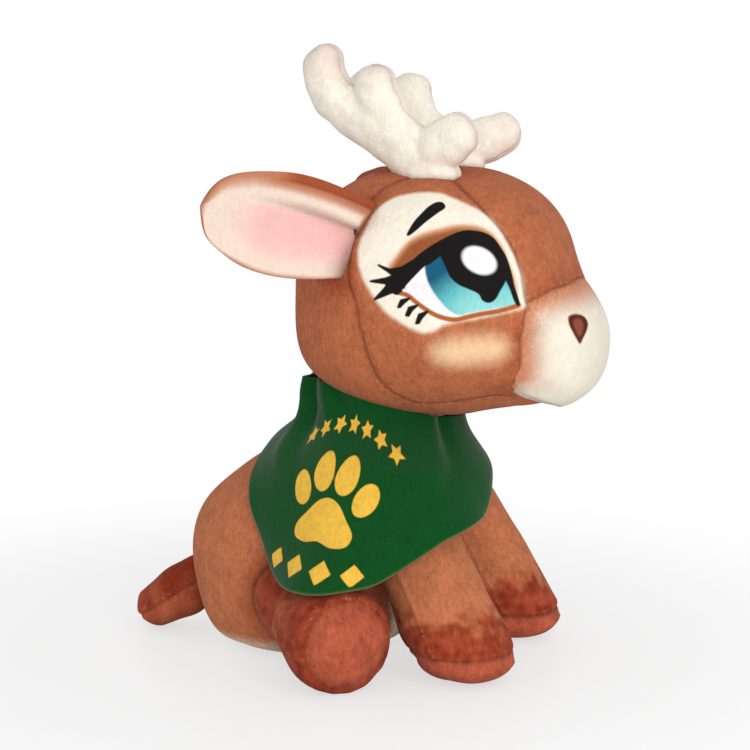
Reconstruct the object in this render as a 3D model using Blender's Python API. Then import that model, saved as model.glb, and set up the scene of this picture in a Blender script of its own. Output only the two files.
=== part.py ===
"""A sitting plush deer: plush skins sewn over stuffing, soft antlers, ears, tail and a neckerchief.

The deer faces -Y with its left side at +X. The origin is on the floor, under the middle of the seat.
Each stuffed piece is a skin, open where it is sewn on, round its own stuffing. A piece that bends at its
seam has a rounded root in a matching hollow, and hangs under an empty at the middle of that root.
"""

import math

import bmesh
import bpy
import numpy as np
from mathutils import Matrix, Vector
from mathutils.bvhtree import BVHTree

MM = 0.001

# Cloth, stuffing and the clearances between pieces
SKIN = 1.8 * MM
STUFFING_GAP = 0.8 * MM
SEAM_GAP = 0.3 * MM
SOCKET_CLEARANCE = 0.9 * MM
SWEEP_CLEARANCE = 0.4 * MM
FLOOR_CUT = 0.5 * MM
MERGE = 0.01 * MM
CUT_OVERRUN = 400 * MM

# Torso
TORSO_HEIGHT = 98 * MM
TORSO_WIDTH = 88 * MM
TORSO_DEPTH = 92 * MM
TORSO_LEAN = 30 * MM
BELLY_WIDTH = 42 * MM
BELLY_BACK = 12 * MM

# Neck: the middle of the ball that the head nods on
NECK = Vector((0, -TORSO_LEAN, TORSO_HEIGHT))
NECK_RADIUS = 24.5 * MM
NECK_OPENING = 17 * MM
HEAD_NOD = (math.radians(-6), math.radians(10))

# Head, muzzle, and the seams between their panels
HEAD_WIDTH = 98 * MM
HEAD_DEPTH = 104 * MM
HEAD_HEIGHT = 93 * MM
HEAD_FULLNESS = 2.4
NECK_TO_HEAD_BASE = Vector((0, -22 * MM, -3.5 * MM))
HEAD = NECK + NECK_TO_HEAD_BASE + Vector((0, 0, HEAD_HEIGHT / 2))
GUSSET_WIDTH = 58 * MM
HEAD_FRONT_TO_MUZZLE = Vector((0, 11 * MM, -19 * MM))
MUZZLE = HEAD + HEAD_FRONT_TO_MUZZLE - Vector((0, HEAD_DEPTH / 2, 0))
MUZZLE_WIDTH = 58 * MM
MUZZLE_DEPTH = 48 * MM
MUZZLE_HEIGHT = 48 * MM
MUZZLE_FULLNESS = 2.2

# Ears
HEAD_SIDE_TO_EAR = Vector((-6.7 * MM, 19 * MM, 22 * MM))
EAR_ROOT = HEAD + HEAD_SIDE_TO_EAR + Vector((HEAD_WIDTH / 2, 0, 0))
EAR_ROOM = 27 * MM
EAR_LENGTH = 59 * MM
EAR_WIDTH = 39 * MM
EAR_THICKNESS = 5 * MM
EAR_CUP = 5 * MM
EAR_SWEEP = math.radians(50)
EAR_RISE = math.radians(14)
EAR_LEAN = math.radians(4)
EAR_TURN = math.radians(16)

# Antlers
HEAD_TOP_TO_ANTLER = Vector((14 * MM, 0, -1 * MM))
ANTLER_ROOT = HEAD + HEAD_TOP_TO_ANTLER + Vector((0, 0, HEAD_HEIGHT / 2))
ANTLER_HEIGHT = 42 * MM
ANTLER_THICKNESS = 15 * MM
ANTLER_ROOT_LENGTH = 29 * MM
LEFT_ANTLER_LEAN = math.radians(24)
RIGHT_ANTLER_LEAN = math.radians(9)
ANTLER_SPLAY = math.radians(14)
LEFT_TINE_REACH = 1.0
RIGHT_TINE_REACH = 1.0
ANTLER_TURN = math.radians(6.5)
ANTLER_ROOM = 16 * MM

# Legs: the middles of their roots and of their soles
NECK_TO_SHOULDER = Vector((26 * MM, -15 * MM, -36 * MM))
SHOULDER = NECK + NECK_TO_SHOULDER
FRONT_FOOT = Vector((33 * MM, -74 * MM, -FLOOR_CUT))
FRONT_ROOT_RADIUS = 16.5 * MM
FRONT_FOOT_RADIUS = 19 * MM
FRONT_PAD = 12 * MM
FRONT_LEG_SWING = (math.radians(-4), math.radians(12))
HIP = Vector((40 * MM, -9 * MM, 27 * MM))
HIND_FOOT = Vector((71.5 * MM, -42.5 * MM, 19 * MM))
HIND_ROOT_RADIUS = 19 * MM
HIND_FOOT_RADIUS = 19.5 * MM
HIND_PAD = 3.5 * MM
HIND_LEG_SWING = (math.radians(-8), math.radians(10))
SOLE_CAP = 8 * MM

# Tail
TAIL_ROOT = Vector((0, 41 * MM, 24 * MM))
TAIL_ROOT_RADIUS = 9 * MM
TAIL_LENGTH = 33 * MM
TAIL_WIDTH = 26 * MM
TAIL_THICKNESS = 20 * MM
TAIL_DROP = math.radians(32)
TAIL_LIFT = (math.radians(-5), math.radians(15))

# Neckerchief: heights of its top edge, and how far its lowest corner hangs
CLOTH = 1.4 * MM
CLOTH_STAND_OFF = 2.6 * MM
CLOTH_SLACK = 7 * MM
CLOTH_SLACK_TURN = math.radians(25)
KERCHIEF_BELOW_NECK_FRONT = 12 * MM
KERCHIEF_BELOW_NECK_BACK = 1 * MM
KERCHIEF_TOP_FRONT = NECK.z - KERCHIEF_BELOW_NECK_FRONT
KERCHIEF_TOP_BACK = NECK.z - KERCHIEF_BELOW_NECK_BACK
KERCHIEF_DROP = 57 * MM

# Colours, roughness and metallic value
BROWN = ("plush_brown", (0.46, 0.165, 0.08, 1), 0.9, 0)
DARK_BROWN = ("plush_dark_brown", (0.36, 0.09, 0.045, 1), 0.9, 0)
CREAM = ("plush_cream", (0.86, 0.82, 0.72, 1), 0.9, 0)
PINK = ("plush_pink", (0.87, 0.56, 0.52, 1), 0.9, 0)
GREEN = ("cloth_green", (0.008, 0.09, 0.018, 1), 0.9, 0)
FILLING = ("stuffing", (0.9, 0.9, 0.88, 1), 1, 0)

# Slices of the forms, as shares of the sizes above.
# Torso: height, lean, half width and half depth.
TORSO_SHARES = [
    (0.026, 0.00, 0.70, 0.68),
    (0.07, 0.00, 0.86, 0.84),
    (0.18, 0.00, 0.96, 0.94),
    (0.39, 0.00, 1.00, 1.00),
    (0.56, 0.14, 0.94, 0.98),
    (0.71, 0.45, 0.80, 0.87),
    (0.83, 0.76, 0.64, 0.68),
    (0.90, 0.95, 0.55, 0.53),
]
# Head: height of each slice from the middle.
HEAD_LEVEL_SHARES = [-0.9, -0.7, -0.4, 0.0, 0.4, 0.7, 0.9]
# Seam round the back panel: behind the head's middle and up from it, of the half depth and half height.
BACK_SEAM_SHARES = [(0.42, 1.3), (0.42, 0.35), (0.40, -0.30), (0.22, -0.66), (-0.10, -0.80), (-0.80, -0.88)]
# Gusset between the eyes: across, of its half width, and up, of the half height.
GUSSET_SHARES = [(0.80, -0.3), (1.00, 0.22), (0.86, 0.55), (0.55, 0.85), (0.42, 1.1)]
# Muzzle: forward from its middle, half width, half height, and drop as a share of its height.
MUZZLE_SHARES = [(-0.70, 0.92, 0.92, 0.0), (-0.15, 1.00, 1.00, 0.0), (0.40, 0.93, 0.92, 0.02)]
# Ear: along its length, half width, half thickness and cup.
EAR_SHARES = [
    (0.0, 0.74, 1.0, 0.0),
    (0.22, 0.90, 1.0, 0.8),
    (0.5, 0.97, 1.0, 0.9),
    (0.76, 0.80, 1.0, 0.5),
    (0.92, 0.53, 0.85, 0.2),
]
# Antler: back, up, half length of the slice and half thickness, of the antler's height and thickness.
ANTLER_BEAM_SHARES = [
    (0.42, 0.36, 0.26, 1.0),
    (0.76, 0.49, 0.21, 1.0),
    (0.97, 0.65, 0.20, 1.0),
    (1.04, 0.86, 0.19, 0.95),
]
ANTLER_BEAM_TIP_SHARE = (1.02, 1.08)
ANTLER_MIDDLE_SHARES = [(0.38, 0.44, 0.20, 0.95), (0.47, 0.62, 0.20, 1.0), (0.49, 0.75, 0.18, 0.95)]
ANTLER_MIDDLE_END_SHARES = ((0.28, 0.25), (0.49, 0.92))
ANTLER_FRONT_SHARES = [(-0.10, 0.20, 0.21, 0.95), (-0.25, 0.29, 0.21, 1.0), (-0.36, 0.36, 0.19, 0.9)]
ANTLER_FRONT_END_SHARES = ((0.03, 0.10), (-0.48, 0.45))
# Legs: along from the root to the sole, and radius between the root's and the foot's.
LEG_SHARES = [(0.33, 0.25), (0.62, 0.7), (0.84, 1.15)]
# Tail: along its length, half width and half thickness.
TAIL_SHARES = [(0.25, 0.78, 0.98), (0.55, 1.0, 1.0), (0.84, 0.84, 0.82)]
# Belly panel: across, of its half width, and up, of the torso's height.
BELLY_SHARES = [(0.55, 0.05), (0.92, 0.25), (1.0, 0.5), (0.85, 0.75), (0.6, 0.93)]
# Neckerchief: turns from its front towards the right side, and how far it hangs there.
KERCHIEF_SHARES = [
    (0.0, 0.16),
    (0.04, 0.17),
    (0.07, 0.22),
    (0.10, 0.34),
    (0.14, 0.57),
    (0.18, 0.82),
    (0.205, 0.92),
    (0.25, 0.95),
    (0.30, 1.0),
    (0.325, 0.98),
    (0.36, 0.83),
    (0.40, 0.57),
    (0.43, 0.38),
    (0.47, 0.24),
    (0.52, 0.20),
    (0.60, 0.19),
    (0.90, 0.16),
    (1.0, 0.16),
]

# Corners round a form, steps from slice to slice and steps to the point of a cap
TORSO_MESH = (20, 1, 2)
HEAD_MESH = (20, 1, 3)
CORE_MESH = (14, 1, 2)
LIMB_MESH = (12, 1, 2)
EAR_MESH = (12, 2, 2)
ANTLER_MESH = (10, 1, 2)
FILL_MESH = (10, 1, 2)
SOCKET_MESH = (14, 8)
NECK_MESH = (20, 10)
KERCHIEF_MESH = (40, 6)
DRAPE_PASSES = 40


def clear_scene():
    """Removes whatever the file holds."""
    for obj in list(bpy.data.objects):
        bpy.data.objects.remove(obj)


def new_collection(name):
    """A collection in the scene."""
    made = bpy.data.collections.new(name)
    bpy.context.scene.collection.children.link(made)
    return made


def between(rows, steps):
    """The rows of a smooth curve through those given, with this many steps from each one to the next."""
    held = [2 * rows[0] - rows[1], *rows, 2 * rows[-1] - rows[-2]]
    for a, b, c, d in zip(held, held[1:], held[2:], held[3:]):
        for i in range(steps):
            t = i / steps
            curved = (2 * a - 5 * b + 4 * c - d) * t**2 + (3 * b - 3 * c + d - a) * t**3
            yield b + ((c - a) * t + curved) / 2
    yield rows[-1]


class Form:
    """A closed soft form: slices from end to end, with a rounded cap out to a point at each end.

    A slice is a row of its middle, its two half axes and its bow.
    """

    def __init__(self, start, rows, end, fullness=2.0):
        self.start, self.end, self.fullness = np.array(start), np.array(end), fullness
        self.rows = [np.array(row) for row in rows]

    @staticmethod
    def slice(middle, first, second, bow=(0, 0, 0)):
        """One slice's row."""
        return np.concatenate([middle, first, second, bow])

    def grown(self, by):
        """The same form, larger all round, or smaller where by is negative."""
        rows = [row.copy() for row in self.rows]
        for row in rows:
            for axis in (row[3:6], row[6:9]):
                axis *= 1 + by / np.linalg.norm(axis)
        ends = []
        for point, row in ((self.start, rows[0]), (self.end, rows[-1])):
            out = point - row[:3]
            ends.append(point + out / np.linalg.norm(out) * by)
        return Form(ends[0], rows, ends[1], self.fullness)

    def on_side(self, side):
        """The same form on the left, where side is 1, or mirrored to the right, where it is -1."""
        flip = np.array([side, 1, 1])
        rows = [row * np.tile(flip, 4) for row in self.rows]
        return Form(self.start * flip, rows, self.end * flip, self.fullness)

    def loops(self, sides, steps, cap_steps):
        """The corners of each ring between the two end points."""
        rows = list(between(self.rows, steps))
        turns = np.linspace(0, math.pi / 2, cap_steps + 1)[1:-1]
        caps = []
        for point, row in ((self.start, rows[0]), (self.end, rows[-1])):
            middles = [row[:3] + (point - row[:3]) * math.sin(turn) for turn in turns]
            caps.append([np.concatenate([m, row[3:] * math.cos(t)]) for m, t in zip(middles, turns)])
        around = np.arange(sides) * 2 * math.pi / sides
        waves = np.cos(around), np.sin(around)
        across, along = (np.sign(w) * np.abs(w) ** (2 / self.fullness) for w in waves)
        for row in caps[0][::-1] + rows + caps[1]:
            bow = np.outer(1 - across**2, row[9:12])
            yield row[:3] + np.outer(across, row[3:6]) + np.outer(along, row[6:9]) - bow

    def mesh(self, sides, steps, cap_steps):
        """The form as a closed mesh."""
        made = bmesh.new()
        loops = [[made.verts.new(p) for p in loop] for loop in self.loops(sides, steps, cap_steps)]
        first, last = made.verts.new(self.start), made.verts.new(self.end)
        for i in range(sides):
            j = (i + 1) % sides
            made.faces.new((first, loops[0][j], loops[0][i]))
            made.faces.new((last, loops[-1][i], loops[-1][j]))
            for low, high in zip(loops, loops[1:]):
                made.faces.new((low[i], low[j], high[j], high[i]))
        bmesh.ops.recalc_face_normals(made, faces=made.faces)
        return made


class Maker:
    """Makes pieces and cutters, and hangs each piece under its joint's empty."""

    def __init__(self):
        self.parts = new_collection("plush_deer")
        self.cutters = new_collection("cutters")
        self.materials = {}

    def pivot(self, name, place, parent=None):
        """An empty at the middle of a joint."""
        made = bpy.data.objects.new(name, None)
        made.location = place
        made["place"] = place
        if parent is not None:
            made.parent = parent
            made.location = place - Vector(parent["place"])
        self.parts.objects.link(made)
        return made

    def material(self, look):
        """The Principled material of a look, made once."""
        name, colour, roughness, metallic = look
        if name not in self.materials:
            made = bpy.data.materials.new(name)
            made.use_nodes = True
            shader = made.node_tree.nodes["Principled BSDF"]
            shader.inputs["Base Color"].default_value = colour
            shader.inputs["Roughness"].default_value = roughness
            shader.inputs["Metallic"].default_value = metallic
            made.diffuse_color = colour
            self.materials[name] = made
        return self.materials[name]

    def cutter(self, name, mesh):
        """A hidden helper from a mesh."""
        data = bpy.data.meshes.new(name)
        mesh.to_mesh(data)
        mesh.free()
        made = bpy.data.objects.new(name, data)
        made.hide_render = True
        made.display_type = "WIRE"
        self.cutters.objects.link(made)
        return made

    def piece(self, name, helper, look, pivot, steps=()):
        """A part that starts as a helper's result, with Boolean steps of its own, under its pivot."""
        data = bpy.data.meshes.new(name)
        mesh = result(helper)
        mesh.to_mesh(data)
        mesh.free()
        data.shade_smooth()
        data.materials.clear()
        data.materials.append(self.material(look))
        made = bpy.data.objects.new(name, data)
        made.parent = pivot
        made.matrix_parent_inverse = Matrix.Translation(-Vector(pivot["place"]))
        self.parts.objects.link(made)
        return boolean(made, steps)

    def form(self, name, form, size, steps=()):
        """A form as a hidden helper, with Boolean steps."""
        return boolean(self.cutter(name, form.mesh(*size)), steps)

    def prism(self, name, corners, low, high, axis):
        """A polygon cutter between two distances along an axis. Its corners are in the other two."""
        mesh = bmesh.new()
        rings = []
        for far in (low, high):
            rings.append([mesh.verts.new(np.insert(np.array(c, float), axis, far)) for c in corners])
        for i in range(len(corners)):
            j = (i + 1) % len(corners)
            mesh.faces.new((rings[0][i], rings[0][j], rings[1][j], rings[1][i]))
        for ring in rings:
            mesh.faces.new(ring)
        bmesh.ops.recalc_face_normals(mesh, faces=mesh.faces)
        return self.cutter(name, mesh)

    def half_space(self, name, point, facing):
        """A large box on the side of a plane that facing points to."""
        mesh = bmesh.new()
        bmesh.ops.create_cube(mesh, size=2 * CUT_OVERRUN)
        turn = Vector(facing).to_track_quat("Z", "Y").to_matrix().to_4x4()
        place = Matrix.Translation(point) @ turn @ Matrix.Translation((0, 0, CUT_OVERRUN))
        bmesh.ops.transform(mesh, matrix=place, verts=mesh.verts)
        return self.cutter(name, mesh)

    def socket(self, name, middle, radius):
        """A ball cutter round a root."""
        mesh = bmesh.new()
        bmesh.ops.create_uvsphere(mesh, u_segments=NECK_MESH[0], v_segments=NECK_MESH[1], radius=radius)
        bmesh.ops.translate(mesh, vec=middle, verts=mesh.verts)
        return ("DIFFERENCE", self.cutter(name, mesh))

    def room(self, name, form, root, radii, axis, angles, reach=CUT_OVERRUN):
        """The room that a root and its limb need to turn: the hull of its socket and the limb at each angle.

        The socket is an ellipsoid round the root whose third radius lies along the axis. Only the limb's
        points within reach of the root count.
        """
        mesh = bmesh.new()
        bmesh.ops.create_uvsphere(mesh, u_segments=SOCKET_MESH[0], v_segments=SOCKET_MESH[1], radius=1)
        scale = Matrix.Diagonal((*(radius + SOCKET_CLEARANCE for radius in radii), 1))
        turn = axis.to_track_quat("Z", "Y").to_matrix().to_4x4()
        bmesh.ops.transform(mesh, matrix=Matrix.Translation(root) @ turn @ scale, verts=mesh.verts)
        bmesh.ops.delete(mesh, geom=mesh.faces, context="FACES_ONLY")
        bmesh.ops.delete(mesh, geom=mesh.edges, context="EDGES_FACES")
        points = [Vector(p) for loop in form.grown(SWEEP_CLEARANCE).loops(*LIMB_MESH) for p in loop]
        for angle in angles:
            turn = Matrix.Rotation(angle, 3, axis)
            for point in points:
                if (point - root).length < reach:
                    mesh.verts.new(root + turn @ (point - root))
        hull = bmesh.ops.convex_hull(mesh, input=mesh.verts)
        inner = {v for v in hull["geom_interior"] + hull["geom_unused"] if isinstance(v, bmesh.types.BMVert)}
        bmesh.ops.delete(mesh, geom=list(inner), context="VERTS")
        bmesh.ops.recalc_face_normals(mesh, faces=mesh.faces)
        return ("DIFFERENCE", self.cutter(name, mesh))

    def turned(self, form, size, name, pivot, axis, angles):
        """The room that a form needs to turn: steps that cut it out at each angle about its pivot."""
        steps = []
        for i, angle in enumerate(angles):
            mesh = form.grown(SWEEP_CLEARANCE).mesh(*size)
            turn = Matrix.Translation(pivot) @ Matrix.Rotation(angle, 4, axis) @ Matrix.Translation(-pivot)
            bmesh.ops.transform(mesh, matrix=turn, verts=mesh.verts)
            steps.append(("DIFFERENCE", self.cutter(f"{name}_{i}", mesh)))
        return steps


def boolean(obj, steps):
    """Adds Boolean steps, each an operation and another object."""
    for operation, other in steps:
        made = obj.modifiers.new(other.name, "BOOLEAN")
        made.operation = operation
        made.object = other
        made.solver = "EXACT"
    return obj


def result(obj):
    """The evaluated mesh in world space."""
    bpy.context.view_layer.update()
    graph = bpy.context.evaluated_depsgraph_get()
    data = bpy.data.meshes.new_from_object(obj.evaluated_get(graph))
    data.transform(obj.matrix_world)
    mesh = bmesh.new()
    mesh.from_mesh(data)
    bpy.data.meshes.remove(data)
    bmesh.ops.remove_doubles(mesh, verts=mesh.verts, dist=MERGE)
    bmesh.ops.dissolve_degenerate(mesh, edges=mesh.edges, dist=MERGE)
    return mesh


def mirrored(point, side):
    """A point on the left, where side is 1, or its mirror image, where it is -1."""
    return Vector((point.x * side, point.y, point.z))


def widened(corners, by):
    """A polygon's corners moved outwards by a width. The corners go round anticlockwise."""
    points = [Vector(corner) for corner in corners]
    made = []
    for before, at, after in zip(points[-1:] + points[:-1], points, points[1:] + points[:1]):
        first, second = (at - before).normalized(), (after - at).normalized()
        normals = Vector((first.y + second.y, -first.x - second.x))
        made.append(at + normals * by / (1 + first.dot(second)))
    return made


def torso_form():
    """The torso, from the floor to the neck ball."""
    rows = []
    for height, lean, wide, deep in TORSO_SHARES:
        middle = (0, -lean * TORSO_LEAN, height * TORSO_HEIGHT)
        rows.append(Form.slice(middle, (wide * TORSO_WIDTH / 2, 0, 0), (0, -deep * TORSO_DEPTH / 2, 0)))
    rows.append(Form.slice(NECK, (NECK_RADIUS, 0, 0), (0, -NECK_RADIUS, 0)))
    return Form((0, 0, -FLOOR_CUT), rows, NECK + Vector((0, 0, NECK_RADIUS)))


def head_form():
    """The head without its muzzle."""
    rows = []
    for level in HEAD_LEVEL_SHARES:
        share = (1 - abs(level) ** HEAD_FULLNESS) ** (1 / HEAD_FULLNESS)
        middle = HEAD + Vector((0, 0, level * HEAD_HEIGHT / 2))
        rows.append(Form.slice(middle, (share * HEAD_WIDTH / 2, 0, 0), (0, -share * HEAD_DEPTH / 2, 0)))
    up = Vector((0, 0, HEAD_HEIGHT / 2))
    return Form(HEAD - up, rows, HEAD + up, HEAD_FULLNESS)


def muzzle_form():
    """The muzzle, from inside the head to the nose."""
    rows = []
    for forward, wide, high, drop in MUZZLE_SHARES:
        middle = MUZZLE + Vector((0, -forward * MUZZLE_DEPTH / 2, -drop * MUZZLE_HEIGHT))
        rows.append(Form.slice(middle, (wide * MUZZLE_WIDTH / 2, 0, 0), (0, 0, high * MUZZLE_HEIGHT / 2)))
    ahead = Vector((0, -MUZZLE_DEPTH / 2, 0))
    return Form(MUZZLE - ahead, rows, MUZZLE + ahead, MUZZLE_FULLNESS)


def ear_frame():
    """The left ear's directions along it, up its root and out of its lining."""
    facing = Vector((math.sin(EAR_SWEEP), -math.cos(EAR_SWEEP), 0))
    level = Vector((math.cos(EAR_SWEEP), math.sin(EAR_SWEEP), 0))
    along = (level * math.cos(EAR_RISE) + Vector((0, 0, math.sin(EAR_RISE)))).normalized()
    return along, Matrix.Rotation(EAR_LEAN, 3, facing) @ facing.cross(along), facing


def ear_form(layer=0):
    """The left ear: the whole of it, its back cloth where layer is -1, or its lining where it is 1."""
    along, up, facing = ear_frame()
    half = EAR_THICKNESS / 2 if layer == 0 else EAR_THICKNESS / 4 - SEAM_GAP / 2
    aside = facing * layer * EAR_THICKNESS / 4
    rows = []
    for far, wide, thick, cup in EAR_SHARES:
        middle = EAR_ROOT + along * far * EAR_LENGTH + aside
        half_width = up * wide * EAR_WIDTH / 2
        rows.append(Form.slice(middle, half_width, facing * thick * half, facing * cup * EAR_CUP))
    return Form(EAR_ROOT - along * half + aside, rows, EAR_ROOT + along * EAR_LENGTH + aside)


def antler_forms(lean, reach):
    """An antler's beam, with its rounded root, and its middle and front tines, on the left side.

    The front tine is reach times as long as its shares make it.
    """
    out = Vector((math.cos(lean), 0, -math.sin(lean)))
    up = Vector((math.sin(lean), 0, math.cos(lean)))
    back = Vector((0, 1, 0)) * math.cos(ANTLER_SPLAY) - out * math.sin(ANTLER_SPLAY)
    aside = back.cross(up)
    thin, long = ANTLER_THICKNESS / 2, ANTLER_ROOT_LENGTH / 2

    def at(share):
        return ANTLER_ROOT + (back * share[0] + up * share[1]) * ANTLER_HEIGHT

    def slices(shares, before, after):
        places = [before] + [at(share) for share in shares] + [after]
        rows = []
        for i, (_, _, half, thick) in enumerate(shares):
            heading = (places[i + 2] - places[i]).normalized()
            half_length = aside.cross(heading) * half * ANTLER_HEIGHT
            rows.append(Form.slice(places[i + 1], aside * thick * thin, half_length))
        return rows

    tip = at(ANTLER_BEAM_TIP_SHARE)
    root = Form.slice(ANTLER_ROOT, aside * thin, aside.cross(up) * long)
    forms = [Form(ANTLER_ROOT - up * thin, [root, *slices(ANTLER_BEAM_SHARES, ANTLER_ROOT, tip)], tip)]
    for shares, (first, last), times in (
        (ANTLER_MIDDLE_SHARES, ANTLER_MIDDLE_END_SHARES, 1),
        (ANTLER_FRONT_SHARES, ANTLER_FRONT_END_SHARES, reach),
    ):
        longer = [(first[0] + (share[0] - first[0]) * times, *share[1:]) for share in (*shares, last)]
        start, end = at(first), at(longer[-1])
        forms.append(Form(start, slices(longer[:-1], start, end), end))
    return forms


def leg_form(root, root_radius, foot, foot_radius, sole_facing):
    """A leg from its round root to a sole that faces one way."""
    facing = Vector(sole_facing).normalized()
    ankle = foot - facing * SOLE_CAP
    heading = (ankle - root).normalized()
    side = heading.cross(facing).normalized()
    rows = [Form.slice(root, side * root_radius, heading.cross(side) * root_radius)]
    for along, grown in LEG_SHARES:
        radius = root_radius + (foot_radius - root_radius) * grown
        turned = heading.lerp(facing, along).normalized()
        rows.append(Form.slice(root.lerp(ankle, along), side * radius, turned.cross(side) * radius))
    rows.append(Form.slice(ankle, side * foot_radius, facing.cross(side) * foot_radius))
    return Form(root - heading * root_radius, rows, foot)


def tail_form():
    """The tail, from its round root to its tip."""
    along = Vector((0, math.cos(TAIL_DROP), -math.sin(TAIL_DROP)))
    side = Vector((1, 0, 0))
    up = side.cross(along)
    rows = [Form.slice(TAIL_ROOT, side * TAIL_ROOT_RADIUS, up * TAIL_ROOT_RADIUS)]
    for far, wide, thick in TAIL_SHARES:
        middle = TAIL_ROOT + along * far * TAIL_LENGTH
        rows.append(Form.slice(middle, side * wide * TAIL_WIDTH / 2, up * thick * TAIL_THICKNESS / 2))
    return Form(TAIL_ROOT - along * TAIL_ROOT_RADIUS, rows, TAIL_ROOT + along * TAIL_LENGTH)


def kerchief_mesh(carriers):
    """The neckerchief: a ring of cloth round the neck that hangs to one corner over the right side."""
    trees = []
    for carrier in carriers:
        mesh = result(carrier)
        trees.append(BVHTree.FromBMesh(mesh))
        mesh.free()
    around, down = KERCHIEF_MESH
    turns = np.arange(around) / around
    drops = np.interp(turns, *np.array(KERCHIEF_SHARES).T) * KERCHIEF_DROP
    fronts = (1 + np.cos(turns * 2 * math.pi)) / 2
    tops = KERCHIEF_TOP_BACK + (KERCHIEF_TOP_FRONT - KERCHIEF_TOP_BACK) * fronts
    ways = [Vector((-math.sin(t), -math.cos(t), 0)) for t in turns * 2 * math.pi]
    heights = tops[:, None] - drops[:, None] * np.linspace(0, 1, down + 1)
    held = np.zeros_like(heights)
    for i, way in enumerate(ways):
        for j in range(down + 1):
            middle = Vector((0, NECK.y, heights[i, j]))
            hits = [tree.ray_cast(middle + way * CUT_OVERRUN, -way)[0] for tree in trees]
            held[i, j] = max((hit - middle).length for hit in hits if hit is not None)
    far = held.copy()
    for _ in range(DRAPE_PASSES):
        wide = np.pad(np.pad(far, ((1, 1), (0, 0)), "wrap"), ((0, 0), (1, 1)), "edge")
        mean = (wide[2:, 1:-1] + wide[:-2, 1:-1] + wide[1:-1, 2:] + wide[1:-1, :-2]) / 4
        far = np.maximum(mean, held)
    made = bmesh.new()
    layers = []
    for out in (CLOTH_STAND_OFF, CLOTH_STAND_OFF + CLOTH):
        layer = []
        for i, way in enumerate(ways):
            slack = CLOTH_SLACK * max(0, math.cos(turns[i] * 2 * math.pi - CLOTH_SLACK_TURN)) ** 2
            places = [Vector((0, NECK.y, z)) + way * (r + out + slack) for z, r in zip(heights[i], far[i])]
            layer.append([made.verts.new(place) for place in places])
        layers.append(layer)
    inner, outer = layers
    for i in range(around):
        j = (i + 1) % around
        for k in range(down):
            made.faces.new((inner[i][k], inner[j][k], inner[j][k + 1], inner[i][k + 1]))
            made.faces.new((outer[i][k], outer[i][k + 1], outer[j][k + 1], outer[j][k]))
        for k in (0, down):
            made.faces.new((inner[i][k], outer[i][k], outer[j][k], inner[j][k]))
    bmesh.ops.recalc_face_normals(made, faces=made.faces)
    return made


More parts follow.
